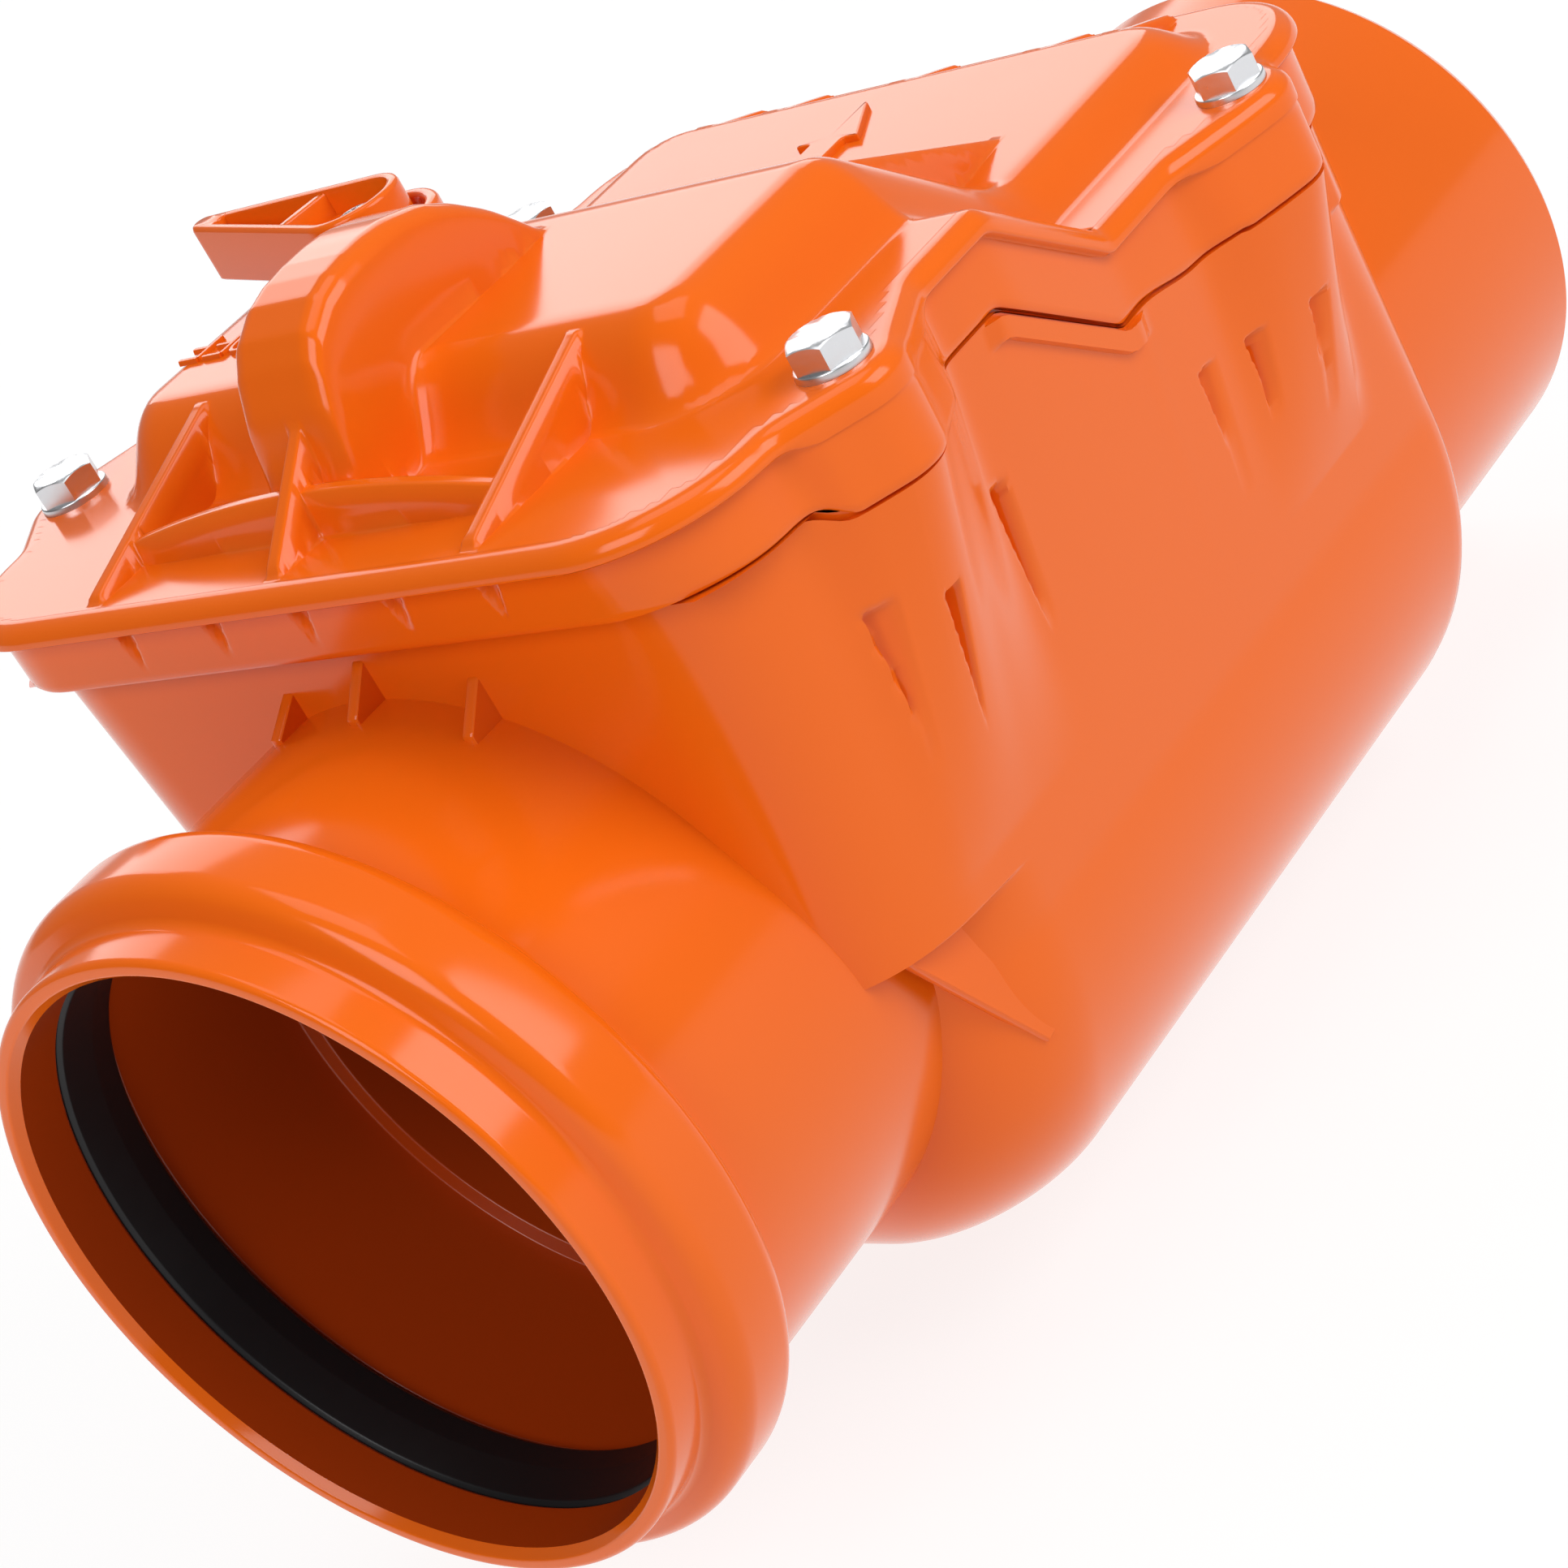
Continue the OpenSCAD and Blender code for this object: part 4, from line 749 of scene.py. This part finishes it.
tipX = lever["len"] - lever["tip"]
slant = math.degrees(math.asin((lever["hub"] - lever["tip"]) / tipX))
loop = evenLoop(np.vstack([arc(0, 0, lever["hub"], 90 - slant, 270 + slant, 40),
                           arc(tipX, 0, lever["tip"], slant - 90, 90 - slant, 16)]), 260)
ln = outward(loop)
inner = loop - ln * lever["wall"]
inner[:, 0] = np.minimum(inner[:, 0], lever["len"] - lever["end"])
high, low = lever["high"], lever["low"]
section = [(loop - ln * 0.5, low), (loop, low + 0.5), (loop, high - 0.8), (loop - ln * 0.24, high - 0.24),
           (loop - ln * 0.7, high), (inner + ln * 0.5, high), (inner + ln * 0.14, high - 0.15),
           (inner, high - 0.5), (inner, low)]
wallPart = gridPart(np.stack([np.column_stack([p, np.full(len(p), h)]) for p, h in section], 1), closeU=True)
floorLoop = np.stack([np.minimum(inner[:, 0], 13.0), inner[:, 1]], 1)
x0, x1 = lever["webX"], lever["webX"] + lever["web"]
webLine = evenLoop(np.array([[x0, -5.2], [x1, -5.0], [x1, 5.0], [x0, 5.2]]), 60)
webParts = prism(webLine, low + 0.2, high - 0.5, 0.5, ((x0 + x1) / 2, 0), lambda v: v)
leverParts = onLever([wallPart, fan(floorLoop, (0, 0), lever["floor"]), *webParts])
makePiece("leverArm", leverParts, orange, "lock_lever", replace=("lever",))

# Collar: a disc under the lever with a round wall that is cut by a slot as wide as the lever hub
collar = {"r": 12.8, "inner": 10.4, "low": 96.6, "base": 99.6, "top": 104.5, "slot": 8.9}
foot = collar["base"] - 0.2
wallLine = rounded([(collar["inner"], foot, 0), (collar["inner"], collar["top"], 0.9),
                    (collar["r"], collar["top"], 1.1), (collar["r"], foot, 0)])
share = np.linspace(0, 1, 90)[:, None]
gapAngle = np.arcsin(collar["slot"] / wallLine[:, 0])[None]
around = gapAngle + share * (2 * np.pi - 2 * gapAngle)
ring = np.stack([wallLine[:, 0] * np.cos(around), wallLine[:, 0] * np.sin(around),
                 np.broadcast_to(wallLine[:, 1], around.shape)], 2)
ends = [(ring[0], [list(range(len(wallLine)))]), (ring[-1], [list(range(len(wallLine)))[::-1]])]
v, f = turnZ(rounded([(5.1, collar["low"], 0), (5.1, collar["base"], 0), (collar["r"], collar["base"], 0.3),
                      (collar["r"], collar["low"], 0)]), 0, 0, 90)
ringV, ringF = gridPart(ring)
collarParts = onLever([(ringV, ringF[:, ::-1]), *ends, (v, f[:, ::-1])])
makePiece("leverCollar", collarParts, orange, "lock_lever", replace=("lever_collar",))

# Pan screw in the hub: a shallow dome with a cross recess
screw = {"r": 4.4, "top": 108.0, "shankR": 2.0, "end": 93.3}
rings, spokes = np.linspace(0, screw["r"], 24), np.linspace(0, 2 * np.pi, 120, endpoint=False)
rr, tt = np.meshgrid(rings, spokes, indexing="ij")
cx, cy = np.abs(rr * np.cos(tt)), np.abs(rr * np.sin(tt))
cross = np.maximum(np.minimum(0.5 - cx, 2.3 - cy), np.minimum(0.5 - cy, 2.3 - cx))
domeZ = screw["top"] - 0.05 * rr ** 2 - ease(3.6, screw["r"], rr)
domeZ = domeZ - 1.6 * ease(-0.1, 0.25, cross) * (1 - rr / 4.6)
head = gridPart(np.stack([rr * np.cos(tt + 0.5), rr * np.sin(tt + 0.5), domeZ], 2), closeV=True)
shank = [(screw["r"], 106.03), (screw["r"], lever["floor"]), (screw["shankR"], lever["floor"]),
         (screw["shankR"], screw["end"]), (0.01, screw["end"])]
v, f = turnZ(shank, 0, 0, 48)
screwParts = onLever([head, (v, f[:, ::-1])])
makePiece("leverScrew", screwParts, zinc, "lock_lever", replace=("lever_screw",))
print("lever done")

# Remaining CAD nodes keep their meshes and take a finish
plain = {"cover_gasket": rubber, "flap_seal": rubber, "spindle_o_rings": rubber, "thread_inserts": brass,
         "hinge_pin": steel, "pin_clips": steel, "seal_retainer": steel, "retainer_screws": steel,
         "hanger_screws": steel, "lock_spindle": steel, "finger_screw": steel, "flap_plate": grey,
         "flap_hanger": grey, "lock_finger": grey, "hinge_bushes": white}
for name, mat in plain.items():
    node = nodes[name]
    node.data.materials.clear()
    node.data.materials.append(mat)
    weld = node.modifiers.new("weld", "WELD")
    weld.merge_threshold = 0.00001
    bevel = node.modifiers.new("bevel", "BEVEL")
    bevel.width = 0.0003
    bevel.segments = 2
    bevel.limit_method = "ANGLE"
    bevel.angle_limit = math.radians(40)

# Floor, light and camera

floorMat = makeMaterial("paleFloor", (0.15, 0.15, 0.15), 0.9)
floorBsdf = floorMat.node_tree.nodes["Principled BSDF"]
floorBsdf.inputs["Emission Color"].default_value = (1, 1, 1, 1)
floorBsdf.inputs["Emission Strength"].default_value = 0.84
floorMesh = bpy.data.meshes.new("floor")
floorZ = sole["low"] * 0.001
corners = [(x, y, floorZ) for x, y in ((-6, -6), (6, -6), (6, 6), (-6, 6))]
floorMesh.from_pydata(corners, [], [(0, 1, 2, 3)])
floorMesh.materials.append(floorMat)
floor = bpy.data.objects.new("floor", floorMesh)
bpy.context.scene.collection.objects.link(floor)

world = bpy.data.worlds.new("studio")
bpy.context.scene.world = world
world.use_nodes = True
sky = world.node_tree
sky.nodes["Background"].inputs["Color"].default_value = (1, 1, 1, 1)
skyCoord = sky.nodes.new("ShaderNodeTexCoord")
skyAxes = sky.nodes.new("ShaderNodeSeparateXYZ")
skyFade = sky.nodes.new("ShaderNodeMapRange")  # dim towards the socket mouth, brighter behind the valve
skyFade.inputs["From Min"].default_value = -0.7
skyFade.inputs["From Max"].default_value = 0.5
skyFade.inputs["To Min"].default_value = 0.1
skyFade.inputs["To Max"].default_value = 0.36
sky.links.new(skyCoord.outputs["Generated"], skyAxes.inputs["Vector"])
sky.links.new(skyAxes.outputs["X"], skyFade.inputs["Value"])
sky.links.new(skyFade.outputs["Result"], sky.nodes["Background"].inputs["Strength"])


# Rectangular light at a place, facing its target
def areaLight(name, place, target, size, power):
    data = bpy.data.lights.new(name, "AREA")
    data.shape = "RECTANGLE"
    data.size, data.size_y = size
    data.energy = power
    obj = bpy.data.objects.new(name, data)
    bpy.context.scene.collection.objects.link(obj)
    back = np.array(place, float) - np.array(target, float)
    z = back / np.linalg.norm(back)
    x = np.cross([0, 0, 1], z)
    x /= np.linalg.norm(x)
    turned = np.column_stack([x, np.cross(z, x), z, place])
    obj.matrix_world = Matrix(np.vstack([turned, [0, 0, 0, 1]]).tolist())
    return obj


areaLight("keyLight", (0.45, -1.2, 0.9), (0.15, 0, 0), (0.9, 0.9), 13)
areaLight("backPanel", (1.41, 1.29, 0.95), (0.15, 0, 0.09), (1.5, 1.1), 12)
areaLight("frontLight", (-1.1, -0.25, 0.95), (0.1, 0, 0.05), (0.8, 0.8), 10)
areaLight("topLight", (0.2, -0.1, 1.5), (0.15, 0, 0), (0.9, 0.9), 5)

camData = bpy.data.cameras.new("photoCamera")
camData.sensor_width = 36
camData.lens = 93.07
camData.shift_x = -0.1281
camData.shift_y = 0.0039
camData.clip_start = 0.01
camera = bpy.data.objects.new("photoCamera", camData)
bpy.context.scene.collection.objects.link(camera)
right = np.array([0.4852, -0.7608, -0.4311])
down = np.array([-0.6066, 0.0622, -0.7926])
ahead = np.array([0.6298, 0.646, -0.4313])
axes = np.column_stack([right, -down, -ahead, [-0.27841, -0.45347, 0.26656]])
camera.matrix_world = Matrix(np.vstack([axes, [0, 0, 0, 1]]).tolist())
bpy.context.scene.camera = camera
bpy.context.scene.view_settings.view_transform = "Standard"
